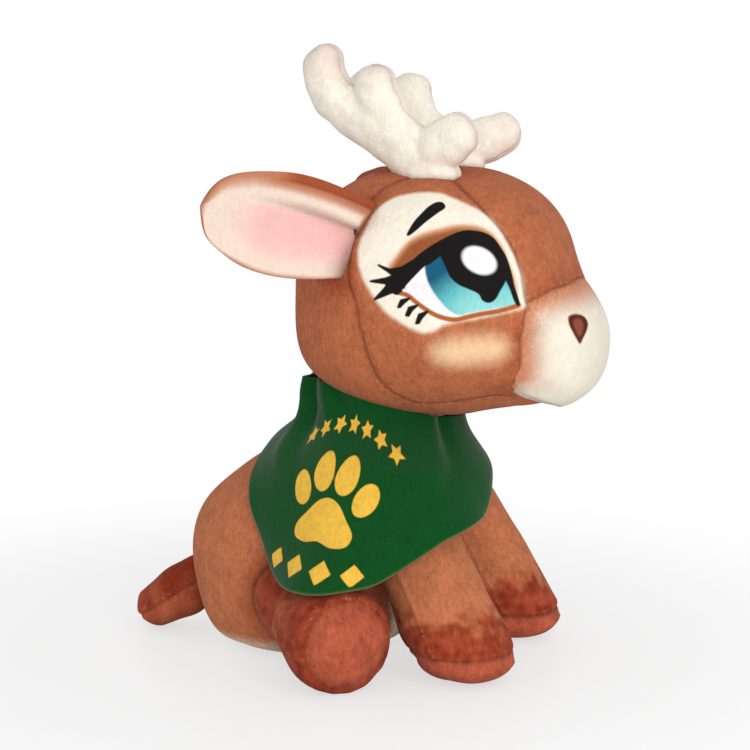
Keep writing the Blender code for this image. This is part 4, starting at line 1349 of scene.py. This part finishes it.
@dataclass
class Tail:
    """The leaf-shaped tail. A slice is shares of the length, the width and the thickness."""

    root: Triple = (0.0, 41 * MM, 24 * MM)
    root_radius: float = 9 * MM
    length: float = 36 * MM
    width: float = 26 * MM
    thickness: float = 21 * MM
    drop: float = math.radians(33)
    grid: tuple[int, int] = (140, 90)
    slices: Sequence[tuple[float, float, float]] = ((0.25, 0.78, 0.98), (0.55, 1.0, 1.0), (0.84, 0.84, 0.82))

    def dressed(self, torso: BVHTree) -> None:
        """Shapes, marks and builds the tail.

        Args:
            torso: the body, beside which the tail darkens.
        """
        along = np.array([0, math.cos(self.drop), -math.sin(self.drop)])
        side = np.array([1.0, 0, 0])
        up = np.cross(side, along)
        root = np.array(self.root)
        rows = [Form.slice(root, side * self.root_radius, up * self.root_radius)]
        for far, wide, thick in self.slices:
            middle = root + along * far * self.length
            rows.append(Form.slice(middle, side * wide * self.width / 2, up * thick * self.thickness / 2))
        made = Form(root - along * self.root_radius, rows, root + along * self.length).surface(*self.grid)
        edge = np.abs((made.points - root) @ up) / MM
        rim = np.where((made.points - root) @ along > 0, edge, FAR)
        made.push((-0.6 * bell(rim, 0.9) + ripple(made.points, 12 * MM, 31) * 0.4) * MM)
        made.stand()
        near = made.gap(torso) / MM
        # The rim's seam, and painted shade in the crease where the tail is sewn on
        made.marks["seam"] = np.maximum(bell(rim, SEAM_WIDTH) * 0.6, bell(near, ROOT_WIDTH))
        made.marks["ridge"] = 0.5 * bell(rim - 1.5, 0.8)
        upper = ease((made.points - root) @ up, -1 * MM, 2 * MM)
        # Rust darker on the upper side and in patches, with painted shade beside the body
        rust = 0.25 + 0.5 * upper + 0.4 * bell(near, 9) + 0.25 * ripple(made.points, 12 * MM, 33)
        made.marks["rust"] = np.clip(rust, 0, 1)
        cloth = Plush("tail_plush", rgb(182, 98, 68), (Layer("rust", rgb(140, 54, 32)),), crush=0.3)
        piece = made.built("tail_plush", cloth.material())
        seat(piece, "tail", ("tail_skin", "tail_stuffing"))


@dataclass
class Ear:
    """A padded ear: brown cloth behind, a pink lining in front and a pleat at its root.

    A pair holds the right side's value and the left's. The widths and the bows give a share of the width and
    of the cup for shares of the length. The crease runs from its first share of the half width at the root to
    both together at the tip.
    """

    side: Side
    root: Triple = (42.3 * MM, -33 * MM, 163 * MM)
    length: float = 59 * MM
    width: float = 39 * MM
    thickness: float = 5 * MM
    cup: float = 5 * MM
    lift: float = 6.2 * MM
    sweep: float = math.radians(50)
    rises: tuple[float, float] = (math.radians(14), math.radians(6))
    leans: tuple[float, float] = (math.radians(4), math.radians(24))
    widths: Outline = ((0.0, 0.76), (0.22, 0.90), (0.5, 0.97), (0.76, 0.81), (0.92, 0.54), (1.0, 0.0))
    bows: Outline = ((0.0, 0.2), (0.22, 0.9), (0.5, 1.0), (0.76, 0.6), (1.0, 0.0))
    crease: tuple[float, float] = (0.28, 0.16)
    grid: tuple[int, int] = (110, 56)

    def frame(self) -> tuple[Array, Array, Array]:
        """The left ear's ways.

        Returns:
            The ways along it, up across it and out of its lining.
        """
        rise, lean = self.side.pick(self.rises), self.side.pick(self.leans)
        facing = Vector((math.sin(self.sweep), -math.cos(self.sweep), 0))
        level = Vector((math.cos(self.sweep), math.sin(self.sweep), 0))
        along = (level * math.cos(rise) + Vector((0, 0, math.sin(rise)))).normalized()
        up = Matrix.Rotation(lean, 3, facing) @ facing.cross(along)
        return np.array(along), np.array(up), np.array(facing)

    def shape(self) -> Surface:
        """The ear as a leaf of two cloths.

        Returns:
            The surface, with marks of how far along, how high and on which cloth each point is.
        """
        along, up, facing = self.frame()
        far_steps, wide_steps = self.grid
        curve = flowing(self.widths, closed=False, steps=12)
        far = np.linspace(0, 1, far_steps) ** 0.9
        wide = np.sqrt(np.maximum(np.interp(far, curve[:, 0], curve[:, 1] ** 2), 0)) * self.width / 2
        turn = np.linspace(-math.pi / 2, math.pi / 2, wide_steps)
        rung = np.sin(turn)
        half = self.thickness / 2 * np.clip(np.cos(turn), 0, 1) ** 0.45
        points, marks = [], {"far": [], "high": [], "front": []}
        for i, share in enumerate(far):
            taper = min(1, wide[i] / (self.width * 0.16)) ** 0.6
            bow = self.cup * np.interp(share, *np.array(self.bows).T)
            crease = self.crease[0] + self.crease[1] * share
            lift = self.lift * (1 - ease(np.array(share), 0.05, 0.8))
            raised = ease(rung, crease - 0.05, crease + 0.14) * (1 - 0.75 * ease(rung, crease + 0.2, 1.0))
            slant = 0.05 * ease(rung, 0.3, 0.5) - 0.10 * ease(rung, 0.45, 0.95)
            reach = slant * self.length * (1 - share) ** 2
            middle = np.array(self.root) + np.outer(share * self.length + reach, along)
            middle = middle + np.outer(rung * wide[i], up)
            middle -= np.outer(bow * (1 - rung**2), facing)
            middle += np.outer(lift * raised, facing)
            for front in (1, -1):
                order = slice(None) if front == 1 else slice(-2, 0, -1)
                points.append((middle + np.outer(front * half * taper, facing))[order])
                marks["far"].append(np.full(wide_steps, share)[order])
                marks["high"].append(rung[order])
                marks["front"].append(np.full(wide_steps, front)[order])
        made = self.closed(np.vstack(points) * np.array([self.side.value, 1, 1]))
        for name, values in marks.items():
            row = np.concatenate(values)
            made.marks[name] = np.concatenate([row, [row[0], row[-1]]])
        return made

    def closed(self, points: Array) -> Surface:
        """Joins the rings of the ear and closes its two ends.

        Args:
            points: the rings' points, ring after ring.

        Returns:
            The surface, with the middles of the end rings last.
        """
        rings, around = self.grid[0], 2 * self.grid[1] - 2
        ahead = [(i, (i + 1) % around) for i in range(around)]
        faces = []
        for k in range(rings - 1):
            low, high = k * around, (k + 1) * around
            faces += [[low + i, low + j, high + j, high + i] for i, j in ahead]
        for k in (0, rings - 1):
            points = np.vstack([points, points[k * around : (k + 1) * around].mean(axis=0)])
            middle = len(points) - 1
            ring = [[k * around + i, k * around + j, middle] for i, j in ahead]
            faces += ring if k else [face[::-1] for face in ring]
        return Surface.outward(points, faces)

    def dressed(self, made: Surface, head: BVHTree) -> None:
        """Marks the cloths and builds the ear.

        Args:
            made: the ear's surface.
            head: the head, beside which the ear darkens.
        """
        body, marks = f"ear_{self.side.word}", made.marks
        far, high, front = (marks.pop(name) for name in ("far", "high", "front"))
        near = made.gap(head) / MM
        made.lump(22 * MM, 41, 0.35)
        curve = flowing(self.widths, closed=False, steps=12)
        wide = np.interp(far, curve[:, 0], curve[:, 1]) * self.width / 2 / MM
        rim = np.minimum((1 - np.abs(high)) * wide, (1 - far) * self.length / MM * 0.8)
        low_part = 1 - ease(far, 0.45, 0.62)
        lining = np.where(front > 0, 1 - ease(high, 0.80, 0.84) * low_part, 0)
        marks["lining"] = lining
        upper = ease(high, 0.2, 0.8)
        band = 4.4 * ease(high, 0.5, 0.8) * (1 - ease(far, 0.5, 0.75))
        marks["pale"] = lining * ease(rim - band, -0.2, 2.0 + 8.0 * upper)
        inner = ease(rim, 3.5, 9) * (1 - ease(high, 0.22, 0.36)) * (1 - ease(far, 0.55, 0.85))
        marks["pink"] = lining * inner * (1 - 0.55 * ease(-high, 0.2, 0.8))
        crease = self.crease[0] + self.crease[1] * far
        fold = bell((high - crease) * wide, 0.9) * (1 - ease(far, 0.3, 0.75)) * (front > 0)
        roll = bell((high - 0.82) * wide, 0.5) * low_part * (front > 0)
        # Painted shade at the root against the head and in the pleat's crease, and the rolled band's seam
        marks["seam"] = np.max([bell(near, 1.6), 0.7 * fold, 0.8 * roll], axis=0)
        # Rust on the back cloth, darker towards its upper edge, with painted shade beside the head
        stain = (1 - lining) * (0.5 + 0.4 * upper) + 0.7 * bell(near, 4)
        marks["rust"] = np.clip(stain, 0, 1) * (1 - 0.6 * marks["pink"])
        layers = (
            Layer("lining", rgb(190, 122, 88)),
            Layer("pale", rgb(236, 214, 198)),
            Layer("pink", rgb(240, 188, 182)),
            Layer("rust", RUST_AND_SHADE, 0, 0.85),
        )
        cloth = Plush("ear_plush", BROWN, layers, crush=0.12, grain=0.22)
        piece = made.built(f"{body}_plush", cloth.material())
        seat(piece, body, (f"{body}_outer", f"{body}_lining"))


@dataclass
class Antler:
    """A soft antler of three prongs.

    A pair holds the right side's value and the left's. A prong's slice is how far behind the root and how
    high it lies and its half width, as shares of the height, and its share of the thickness. Each prong off
    the beam has its slices, its start and its tip. The skin's faces are as wide as skin.
    """

    side: Side
    root: Triple = (14 * MM, -52 * MM, 186.5 * MM)
    height: float = 42 * MM
    thickness: float = 15 * MM
    root_length: float = 29 * MM
    leans: tuple[float, float] = (math.radians(9), math.radians(32))
    splays: tuple[float, float] = (math.radians(14), math.radians(4))
    beam_reaches: tuple[float, float] = (1.0, 0.88)
    front_reaches: tuple[float, float] = (1.0, 1.2)
    beam: Sequence[tuple[float, float, float, float]] = (
        (0.42, 0.36, 0.28, 1.0), (0.76, 0.49, 0.22, 1.0), (0.97, 0.65, 0.20, 1.0), (1.04, 0.86, 0.19, 0.95),
    )
    beam_tip: tuple[float, float] = (1.02, 1.08)
    grid: tuple[int, int] = (48, 60)
    skin: float = 0.7 * MM
    smoothing: int = 14
    prongs: Sequence[tuple] = (
        (
            ((0.38, 0.44, 0.20, 0.95), (0.47, 0.62, 0.20, 1.0), (0.49, 0.75, 0.18, 0.95)),
            (0.28, 0.25),
            (0.49, 0.92),
        ),
        (
            ((-0.10, 0.20, 0.21, 0.95), (-0.25, 0.29, 0.21, 1.0), (-0.36, 0.36, 0.19, 0.9)),
            (0.03, 0.10),
            (-0.48, 0.45),
        ),
    )

    def shape(self) -> Surface:
        """The three prongs as one skin.

        Returns:
            The surface, with its seam and its blush marked.
        """
        lean, splay = self.side.pick(self.leans), self.side.pick(self.splays)
        out = np.array([math.cos(lean), 0, -math.sin(lean)])
        up = np.array([math.sin(lean), 0, math.cos(lean)])
        back = np.array([0, 1, 0]) * math.cos(splay) - out * math.sin(splay)
        out = np.cross(back, up)
        root = np.array(self.root)
        thin, long = self.thickness / 2, self.root_length / 2

        def at(behind: float, high: float) -> Array:
            """A place in the antler's plane."""
            return root + (back * behind + up * high) * self.height

        def slices(shares: Sequence[tuple], before: Array, after: Array) -> list[Array]:
            """Slices across a prong.

            Args:
                shares: the prong's slices as shares.
                before: its start.
                after: its tip.

            Returns:
                Rows for a form.
            """
            places = [before] + [at(*share[:2]) for share in shares] + [after]
            rows = []
            for i, (_, _, half, thick) in enumerate(shares):
                heading = places[i + 2] - places[i]
                heading = heading / np.linalg.norm(heading)
                across = np.cross(out, heading) * half * self.height
                rows.append(Form.slice(places[i + 1], out * thick * thin, across))
            return rows

        reach = self.side.pick(self.beam_reaches)
        tip = at(*np.array(self.beam_tip) * reach)
        first = Form.slice(root, out * thin, np.cross(out, up) * long)
        beam = [(behind * reach, high * reach, half, thick) for behind, high, half, thick in self.beam]
        forms = [Form(root - up * thin, [first, *slices(beam, root, tip)], tip)]
        for shares, start, end in self.prongs:
            times = self.side.pick(self.front_reaches) if end[0] < 0 else 1
            longer = [(start[0] + (share[0] - start[0]) * times, *share[1:]) for share in (*shares, end)]
            far = at(*longer[-1])
            forms.append(Form(at(*start), slices(longer[:-1], at(*start), far), far))
        made = remeshed([form.surface(*self.grid) for form in forms], self.skin)
        made.relax(self.smoothing)
        gap = np.abs((made.points - root) @ out) / MM
        high = (made.points - root) @ up
        made.push((0.35 + ripple(made.points, 10 * MM, 51) * 0.3 - 0.35 * bell(gap, 1.0)) * MM)
        tips = 0.75 * ease(high, 0.6 * self.height, 1.1 * self.height)
        blush = np.clip(tips + 0.5 * bell(gap, 3), 0, 1)
        front = ease(-made.points[:, 1], 62 * MM, 76 * MM)
        marks = {"blush": np.clip(blush + 0.4 * front, 0, 1), "seam": bell(gap, 0.5) * 0.35}
        if self.side is Side.RIGHT:
            made = Surface(made.points * np.array([-1, 1, 1]), [face[::-1] for face in made.faces])
        made.marks = marks
        return made

    def dressed(self, made: Surface, head: BVHTree) -> None:
        """Marks the root's shade and builds the antler.

        Args:
            made: the antler's surface.
            head: the head, beside which the antler darkens.
        """
        body = f"antler_{self.side.word}"
        near = made.gap(head) / MM
        # Painted shade in the crease where the antler meets the head
        made.marks["seam"] = np.maximum(made.marks["seam"], 0.6 * bell(near, 1.2))
        layers = (Layer("blush", rgb(222, 198, 190), 0, 0.8),)
        cloth = Plush("antler_plush", rgb(250, 243, 228), layers, grain=0.3, crush=0.2)
        piece = made.built(f"{body}_plush", cloth.material())
        seat(piece, body, (f"{body}_skin", f"{body}_stuffing"))


@dataclass
class Print:
    """The neckerchief's print: a plain paw under an arc of stars, in millimetres on its chart."""

    toes: Sequence[Oval] = (
        Oval(-14.2, 1.5, 4.6, 7.2, 22.0),
        Oval(-5.4, 9.6, 4.9, 7.9, 8.0),
        Oval(5.4, 9.6, 4.9, 7.9, -8.0),
        Oval(14.2, 1.5, 4.6, 7.2, -22.0),
    )
    pad: Outline = (
        (0.0, 0.4), (4.6, -1.6), (8.6, -7.0), (11.6, -12.2), (10.2, -16.8), (5.2, -18.0), (0.0, -16.6),
        (-5.2, -18.0), (-10.2, -16.8), (-11.6, -12.2), (-8.6, -7.0), (-4.6, -1.6),
    )
    stars: int = 7
    arc_radius: float = 44.0
    arc_step: float = math.radians(11.6)
    arc_middle: float = -16.5
    star_radius: float = 4.6
    star_notch: float = 0.45
    diamonds: int = 4
    diamond_half: tuple[float, float] = (3.6, 4.6)
    diamond_step: float = 9.4
    diamond_height: float = -26.8
    tilt: float = math.radians(-5)
    scale: float = 0.88
    reach: float = 45

    def outlines(self) -> list[Array]:
        """The pad, the stars and the diamonds.

        Returns:
            Closed outlines.
        """
        made = [flowing(self.pad)]
        corners = np.arange(11)
        for i in range(self.stars):
            turn = (i - (self.stars - 1) / 2) * self.arc_step
            middle = np.array([math.sin(turn), math.cos(turn)]) * self.arc_radius + (0, self.arc_middle)
            spin = corners * math.pi / 5 - turn
            far = self.star_radius * np.where(corners % 2, self.star_notch, 1.0)
            made.append(middle + np.stack([np.sin(spin) * far, np.cos(spin) * far], axis=1))
        wide, high = self.diamond_half
        for i in range(self.diamonds):
            middle = np.array([(i - (self.diamonds - 1) / 2) * self.diamond_step, self.diamond_height])
            made.append(middle + np.array([(wide, 0), (0, high), (-wide, 0), (0, -high), (wide, 0)]))
        return made

    def signed(self, across: Array, up: Array) -> Array:
        """The distance of chart places to the print.

        Args:
            across: how far across each place is.
            up: how far up.

        Returns:
            A distance for each place, negative inside.
        """
        right = (across * math.cos(self.tilt) + up * math.sin(self.tilt)) / self.scale
        above = (up * math.cos(self.tilt) - across * math.sin(self.tilt)) / self.scale
        turned = np.stack([right, above], axis=1)
        far = np.full(len(across), FAR)
        near = (np.abs(turned) < self.reach).all(axis=1)
        places = turned[near]
        shapes = [signed(places, outline) for outline in self.outlines()]
        shapes += [toe.signed(*places.T) for toe in self.toes]
        far[near] = np.min(shapes, axis=0)
        return far * self.scale


@dataclass(frozen=True)
class Felt(Plush):
    """The neckerchief's cloth with its print."""

    ink: Colour = rgb(233, 186, 70)

    def coloured(self, board: Board) -> Value:
        """The gold print over its dark outline."""
        return board.mix(super().coloured(board), self.ink, board.mark_between("gold", 0.1, -0.35))


@dataclass
class Kerchief:
    """The neckerchief: a ring of cloth round the neck that hangs to one corner over the right side.

    Turns start at the front and go to the deer's right. Hang gives the share of the drop for each share of a
    turn. A crease is its share of a turn, its width, how it slants, its depth in millimetres and how low it
    runs. What carries the cloth is felt for from outside, and the head from the shoulder's height, at each
    distance of the collar from the neck's line. Slip is how much less snug the collar is, round which share
    of a turn and how far from it. Chest is how far it stands out in front, and over which share of a turn.
    """

    neck: tuple[float, float] = (0.0, -30 * MM)
    cloth: float = 1.4 * MM
    stand_off: float = 2.6 * MM
    slack: float = 7 * MM
    slack_turn: float = math.radians(25)
    highest: float = 107 * MM
    head_gap: float = 0.8 * MM
    collar: tuple[float, ...] = (33 * MM, 38 * MM, 43 * MM)
    base_front: float = 86 * MM
    base_back: float = 97 * MM
    drop: float = 57 * MM
    around: int = 400
    down: int = 110
    coarse: tuple[int, int] = (40, 7)
    rough_passes: int = 40
    lying_passes: int = 60
    tight_passes: int = 20
    smooth_passes: int = 12
    top_passes: int = 30
    hem_passes: int = 12
    shoulder: float = 60 * MM
    outside: float = 0.3
    leg_room: float = 3.2 * MM
    snug: float = 0.95
    snug_heights: tuple[float, float] = (74 * MM, 100 * MM)
    slip: Triple = (0.12, 0.45, 0.12)
    chest: tuple[float, float] = (2.5 * MM, 0.09)
    print_turn: float = 0.258
    print_height: float = 69.0
    print_radius: float = 47.0
    crease_height: float = 95 * MM
    crease_fade: float = 22 * MM
    creases: Sequence[tuple[float, float, float, float, float]] = (
        (0.40, 0.018, 2.2, 2.6, 70 * MM), (0.365, 0.016, 2.6, -2.4, 72 * MM),
        (0.31, 0.02, 3.0, 1.6, 76 * MM), (0.26, 0.016, 3.2, -1.6, 82 * MM),
        (0.10, 0.018, -2.0, 1.8, 68 * MM), (0.07, 0.014, -2.2, -2.2, 66 * MM),
    )
    hang: Outline = (
        (0.0, 0.18), (0.03, 0.24), (0.055, 0.34), (0.08, 0.44), (0.11, 0.49), (0.14, 0.56), (0.175, 0.73),
        (0.205, 0.87), (0.25, 0.94), (0.29, 0.965), (0.315, 0.92), (0.35, 0.74), (0.39, 0.52), (0.43, 0.36),
        (0.47, 0.24), (0.52, 0.20), (0.60, 0.19), (0.90, 0.16), (1.0, 0.16),
    )

    def held(self, trees: Sequence[BVHTree], turns: Array, heights: Array) -> Array:
        """How far out of the neck's line the carriers reach.

        Args:
            trees: the carriers.
            turns: the turns that are asked for.
            heights: a row of heights for each turn.

        Returns:
            A distance for each height.
        """
        made = np.zeros_like(heights)
        for i, turn in enumerate(turns):
            way = Vector((-math.sin(turn), -math.cos(turn), 0))
            for j, high in enumerate(heights[i]):
                middle = Vector((*self.neck, high))
                hits = [tree.ray_cast(middle + way * self.outside, -way)[0] for tree in trees]
                made[i, j] = max([(hit - middle).length for hit in hits if hit is not None], default=0)
        return made

    def relaxed(self, far: Array, held: Array | None, passes: int) -> Array:
        """Tautens the cloth.

        Args:
            far: how far out it is.
            held: how far out what holds it is.
            passes: how often.

        Returns:
            How far out it is then.
        """
        for _ in range(passes):
            wide = np.pad(np.pad(far, ((1, 1), (0, 0)), "wrap"), ((0, 0), (1, 1)), "edge")
            far = (wide[2:, 1:-1] + wide[:-2, 1:-1] + wide[1:-1, 2:] + wide[1:-1, :-2]) / 4
            if held is not None:
                far = np.maximum(far, held)
        return far

    def tops(self, turns: Array, head: BVHTree) -> Array:
        """The height of the top edge, just under the head.

        Args:
            turns: the turns that are asked for.
            head: the head.

        Returns:
            A height for each turn.
        """
        made = []
        for turn in turns:
            found = self.highest
            for far in self.collar:
                x, y = self.neck[0] - math.sin(turn) * far, self.neck[1] - math.cos(turn) * far
                hit = head.ray_cast(Vector((x, y, self.shoulder)), Vector((0, 0, 1)))[0]
                found = min(found, hit.z - self.head_gap) if hit else found
            made.append(found)
        made = np.array(made)
        for _ in range(self.top_passes):
            made = np.minimum(made, (np.roll(made, 1) + made * 2 + np.roll(made, -1)) / 4)
        return made

    def brim(self, turns: Array) -> Array:
        """The height that the cloth hangs down from."""
        return self.base_back + (self.base_front - self.base_back) * ((1 + np.cos(turns)) / 2)

    def hems(self, turns: Array) -> Array:
        """The height of the lower edge.

        Args:
            turns: the turns that are asked for.

        Returns:
            A height for each turn.
        """
        drops = np.interp(turns / math.tau, *np.array(self.hang).T)
        for _ in range(self.hem_passes):
            drops = (np.roll(drops, 1) + drops * 2 + np.roll(drops, -1)) / 4
        return self.brim(turns) - drops * self.drop

    def rough(
        self, carriers: Sequence[BVHTree], still: Sequence[BVHTree], turns: Array, heights: Array
    ) -> Array:
        """A coarse drape that clears the moved legs.

        Args:
            carriers: all that it clears, moved legs too.
            still: what it lies on at rest.
            turns: the turns that are asked for.
            heights: a row of heights for each turn.

        Returns:
            How far out of the neck's line the cloth is at each height.
        """
        columns, rows = self.coarse
        few = np.arange(columns) / columns * math.tau
        drops = np.interp(few / math.tau, *np.array(self.hang).T) * self.drop
        brim = np.interp(few, turns, self.brim(turns))
        few_heights = brim[:, None] - drops[:, None] * np.linspace(0, 1, rows)
        held = self.held(carriers, few, few_heights)
        held += np.where(held > self.held(still, few, few_heights) + 0.2 * MM, self.leg_room, 0)
        far = self.relaxed(held, held, self.rough_passes)
        place = turns / few[1]
        low = np.clip(place.astype(int), 0, columns - 1)
        share = place - low
        index = np.arange(self.around)
        made = np.zeros_like(heights)
        for j in range(self.down):
            table = [np.interp(-heights[:, j], -few_heights[i], far[i]) for i in range(columns)]
            table = np.array([*table, table[0]])
            made[:, j] = table[low, index] * (1 - share) + table[low + 1, index] * share
        return made

    def shape(self, carriers: Sequence[BVHTree], still: Sequence[BVHTree], head: BVHTree) -> Surface:
        """Drapes the cloth.

        Args:
            carriers: all that it clears, moved legs too.
            still: what it lies on at rest.
            head: what covers its top edge.

        Returns:
            The cloth.
        """
        turns = np.arange(self.around) / self.around * math.tau
        ahead = (turns / math.tau + 0.5) % 1 - 0.5
        tops, bottoms = self.tops(turns, head), self.hems(turns)
        heights = tops[:, None] + (bottoms - tops)[:, None] * np.linspace(0, 1, self.down)
        held = self.held(still, turns, heights)
        rough = self.rough(carriers, still, turns, heights)
        far = self.relaxed(np.maximum(rough, held), held, self.lying_passes)
        far = self.relaxed(far, None, self.smooth_passes)
        leant = np.maximum(0, np.cos(turns - self.slack_turn))[:, None] ** 2
        far = far + self.stand_off + self.slack * leant
        tight = self.relaxed(held, held, self.tight_passes) + self.stand_off
        looser, place, reach = self.slip
        snug = self.snug - looser * bell(turns / math.tau - place, reach)[:, None]
        far += (tight - far) * snug * ease(heights, *self.snug_heights)
        far += self.chest[0] * bell(ahead, self.chest[1])[:, None]
        far += self.folds(turns, heights)
        ways = np.stack([-np.sin(turns), -np.cos(turns), np.zeros(self.around)], axis=1)
        middle = np.zeros((*heights.shape, 3)) + (*self.neck, 0)
        middle[..., 2] = heights
        inner = middle + ways[:, None, :] * far[..., None]
        outer = middle + ways[:, None, :] * (far + self.cloth)[..., None]
        made = Surface(np.vstack([inner.reshape(-1, 3), outer.reshape(-1, 3)]), self.faces())
        made.marks["edge"] = np.tile(((heights - bottoms[:, None]) / MM).reshape(-1), 2)
        across = -np.repeat((ahead - self.print_turn) * math.tau * self.print_radius, self.down)
        up = heights.reshape(-1) / MM - self.print_height
        made.marks["gold"] = np.tile(Print().signed(across, up), 2)
        return made

    def folds(self, turns: Array, heights: Array) -> Array:
        """Soft folds that run down from the neck.

        Args:
            turns: the turns that are asked for.
            heights: a row of heights for each turn.

        Returns:
            How far out they push each place.
        """
        made = np.zeros_like(heights)
        share = turns[:, None] / math.tau
        for place, wide, lean, deep, low in self.creases:
            middle = place + lean * (heights - self.crease_height)
            made += deep * MM * bell(share - middle, wide) * ease(heights, low, low + self.crease_fade)
        flat = [np.broadcast_to(share * 300 * MM, heights.shape).reshape(-1), heights.reshape(-1)]
        waves = ripple(np.stack([*flat, np.zeros(heights.size)], axis=1), 30 * MM, 61)
        return made + waves.reshape(heights.shape) * 0.35 * MM * np.sin(turns / 2)[:, None]

    def faces(self) -> list[list[int]]:
        """The faces of the two layers and of the edges between them.

        Returns:
            The corners of each face.
        """
        count = self.around * self.down
        made = []
        for i in range(self.around):
            here, there = i * self.down, (i + 1) % self.around * self.down
            for k in range(self.down - 1):
                a, b, c, d = here + k, there + k, there + k + 1, here + k + 1
                made.append([a, b, c, d])
                made.append([count + d, count + c, count + b, count + a])
            for k, flip in ((0, True), (self.down - 1, False)):
                a, b = here + k, there + k
                face = [a, b, count + b, count + a]
                made.append(face[::-1] if flip else face)
        return made

    def dressed(self, made: Surface) -> None:
        """Marks the cut edge and builds the cloth.

        Args:
            made: the cloth's surface.
        """
        made.marks["hem"] = bell(made.marks.pop("edge"), 0.5)
        layers = (Layer("hem", rgb(150, 140, 96), 0, 0.5), Layer("gold", rgb(10, 40, 16), 0.55))
        felt = {"crush": 0.3, "grain": 0.5, "pile": 0.3 * MM, "sheen": 0.22}
        cloth = Felt("kerchief_felt", rgb(12, 74, 30), layers, **felt)
        piece = made.built("neckerchief_cloth", cloth.material())
        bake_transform(piece)
        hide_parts("neckerchief")
        half = (made.triangles < len(made.points) // 2).all(axis=1)
        a, b, c = (made.points[made.triangles[half][:, i]] for i in range(3))
        area = float(np.linalg.norm(np.cross(b - a, c - a), axis=1).sum() / 2)
        log.info("%s on torso and head, %.5f m2", piece.name, area)


@dataclass(frozen=True)
class Lamp:
    """A square lamp, its side in metres and its power in watts."""

    name: str
    place: Triple
    power: float
    side: float = 0.8


@dataclass
class Studio:
    """The floor, the lamps and the camera at the photograph's angle.

    Near the object the floor is part paint, which keeps the shadow, and further off it goes over to plain
    white. Sky is how bright the world is to the object.
    """

    camera_place: Triple = (-837 * MM, -317 * MM, 250 * MM)
    camera_way: Triple = (0.9327, 0.3233, -0.1597)
    lens: float = 112.32
    sensor: float = 36
    horizon: float = 20
    target: Triple = (0, -0.03, 0.1)
    lamps: Sequence[Lamp] = (Lamp("key", (-0.8, -0.85, 0.7), 4.0), Lamp("fill", (-0.95, -0.5, 0.10), 5.0))
    sky: float = 0.67
    white: tuple[float, float, float, float] = (1, 1, 1, 1)
    paint: tuple[float, float, float, float] = (0.9, 0.9, 0.9, 1)
    floor_size: float = 12
    floor_fade: tuple[float, float] = (0.10, 0.30)

    def floor(self) -> None:
        """A white floor that keeps the shadow and a faint reflection."""
        bpy.ops.mesh.primitive_plane_add(size=self.floor_size, location=(0, 0, 0))
        plane = bpy.context.object
        plane.name = "floor"
        board = Board(bpy.data.materials.new("floor"))
        inputs = {"Base Color": self.paint, "Roughness": 0.35, "Specular IOR Level": 0.35}
        body = board.node("ShaderNodeBsdfPrincipled", {}, inputs)
        glow = board.node("ShaderNodeEmission", {}, {"Color": self.white, "Strength": 1.0})
        camera = board.node("ShaderNodeLightPath", {}, {}, "Is Camera Ray")
        place = board.node("ShaderNodeTexCoord", {}, {}, "Object")
        far = board.node("ShaderNodeVectorMath", {"operation": "LENGTH"}, {0: place}, "Value")
        share = far.between(*self.floor_fade) * 0.35 + 0.65
        board.close(board.node("ShaderNodeMixShader", {}, {0: camera * share, 1: body, 2: glow}))
        plane.data.materials.append(board.owner)

    def light(self) -> None:
        """Soft lamps and an even sky, which the camera sees as white."""
        world = bpy.data.worlds.new("studio")
        bpy.context.scene.world = world
        board = Board(world)
        camera = board.node("ShaderNodeLightPath", {}, {}, "Is Camera Ray")
        skies = [
            board.node("ShaderNodeBackground", {}, {"Color": self.white, "Strength": strength})
            for strength in (self.sky, 1.0)
        ]
        board.close(board.node("ShaderNodeMixShader", {}, {0: camera, 1: skies[0], 2: skies[1]}))
        for lamp in self.lamps:
            data = bpy.data.lights.new(lamp.name, "AREA")
            data.size, data.energy = lamp.side, lamp.power
            way = Vector(self.target) - Vector(lamp.place)
            self.hang(bpy.data.objects.new(lamp.name, data), lamp.place, way)

    def camera(self) -> None:
        """The photograph's viewpoint."""
        data = bpy.data.cameras.new("camera")
        data.lens, data.sensor_width, data.clip_end = self.lens, self.sensor, self.horizon
        made = bpy.data.objects.new("camera", data)
        self.hang(made, self.camera_place, Vector(self.camera_way))
        bpy.context.scene.camera = made
        bpy.context.scene.view_settings.view_transform = "Standard"

    def hang(self, made: bpy.types.Object, place: Triple, way: Vector) -> None:
        """Puts a lamp or the camera in place.

        Args:
            made: the lamp or the camera.
            place: where it is.
            way: the way that it looks.
        """
        made.location = place
        made.rotation_euler = way.to_track_quat("-Z", "Y").to_euler()
        bpy.context.scene.collection.objects.link(made)
        log.info("%s in place", made.name)


def main() -> None:
    """Builds and dresses the deer."""
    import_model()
    head, muzzle, torso = Head(), Muzzle(), Torso()
    legs = [Leg(kind, side) for kind in LegKind for side in Side]
    torso_shape = torso.shape()
    torso_tree = torso_shape.tree()
    torso.dressed(torso_shape, [leg.tree for leg in legs])
    for leg in legs:
        leg.dressed(torso_tree)
    Tail().dressed(torso_tree)
    ears = [Ear(side) for side in Side]
    ear_shapes = [ear.shape() for ear in ears]
    head_tree = head.shape().tree()
    head.dressed(muzzle.shape().tree(), [shape.tree() for shape in ear_shapes])
    muzzle.dressed(head, head_tree)
    for ear, shape in zip(ears, ear_shapes):
        ear.dressed(shape, head_tree)
    for antler in (Antler(side) for side in Side):
        antler.dressed(antler.shape(), head_tree)
    still = [torso_tree, *(leg.tree for leg in legs)]
    kerchief = Kerchief()
    kerchief.dressed(kerchief.shape([*still, *(leg.swung() for leg in legs)], still, head_tree))
    studio = Studio()
    studio.floor()
    studio.light()
    studio.camera()


if __name__ == "__main__":
    logging.basicConfig(level=logging.INFO)
    main()
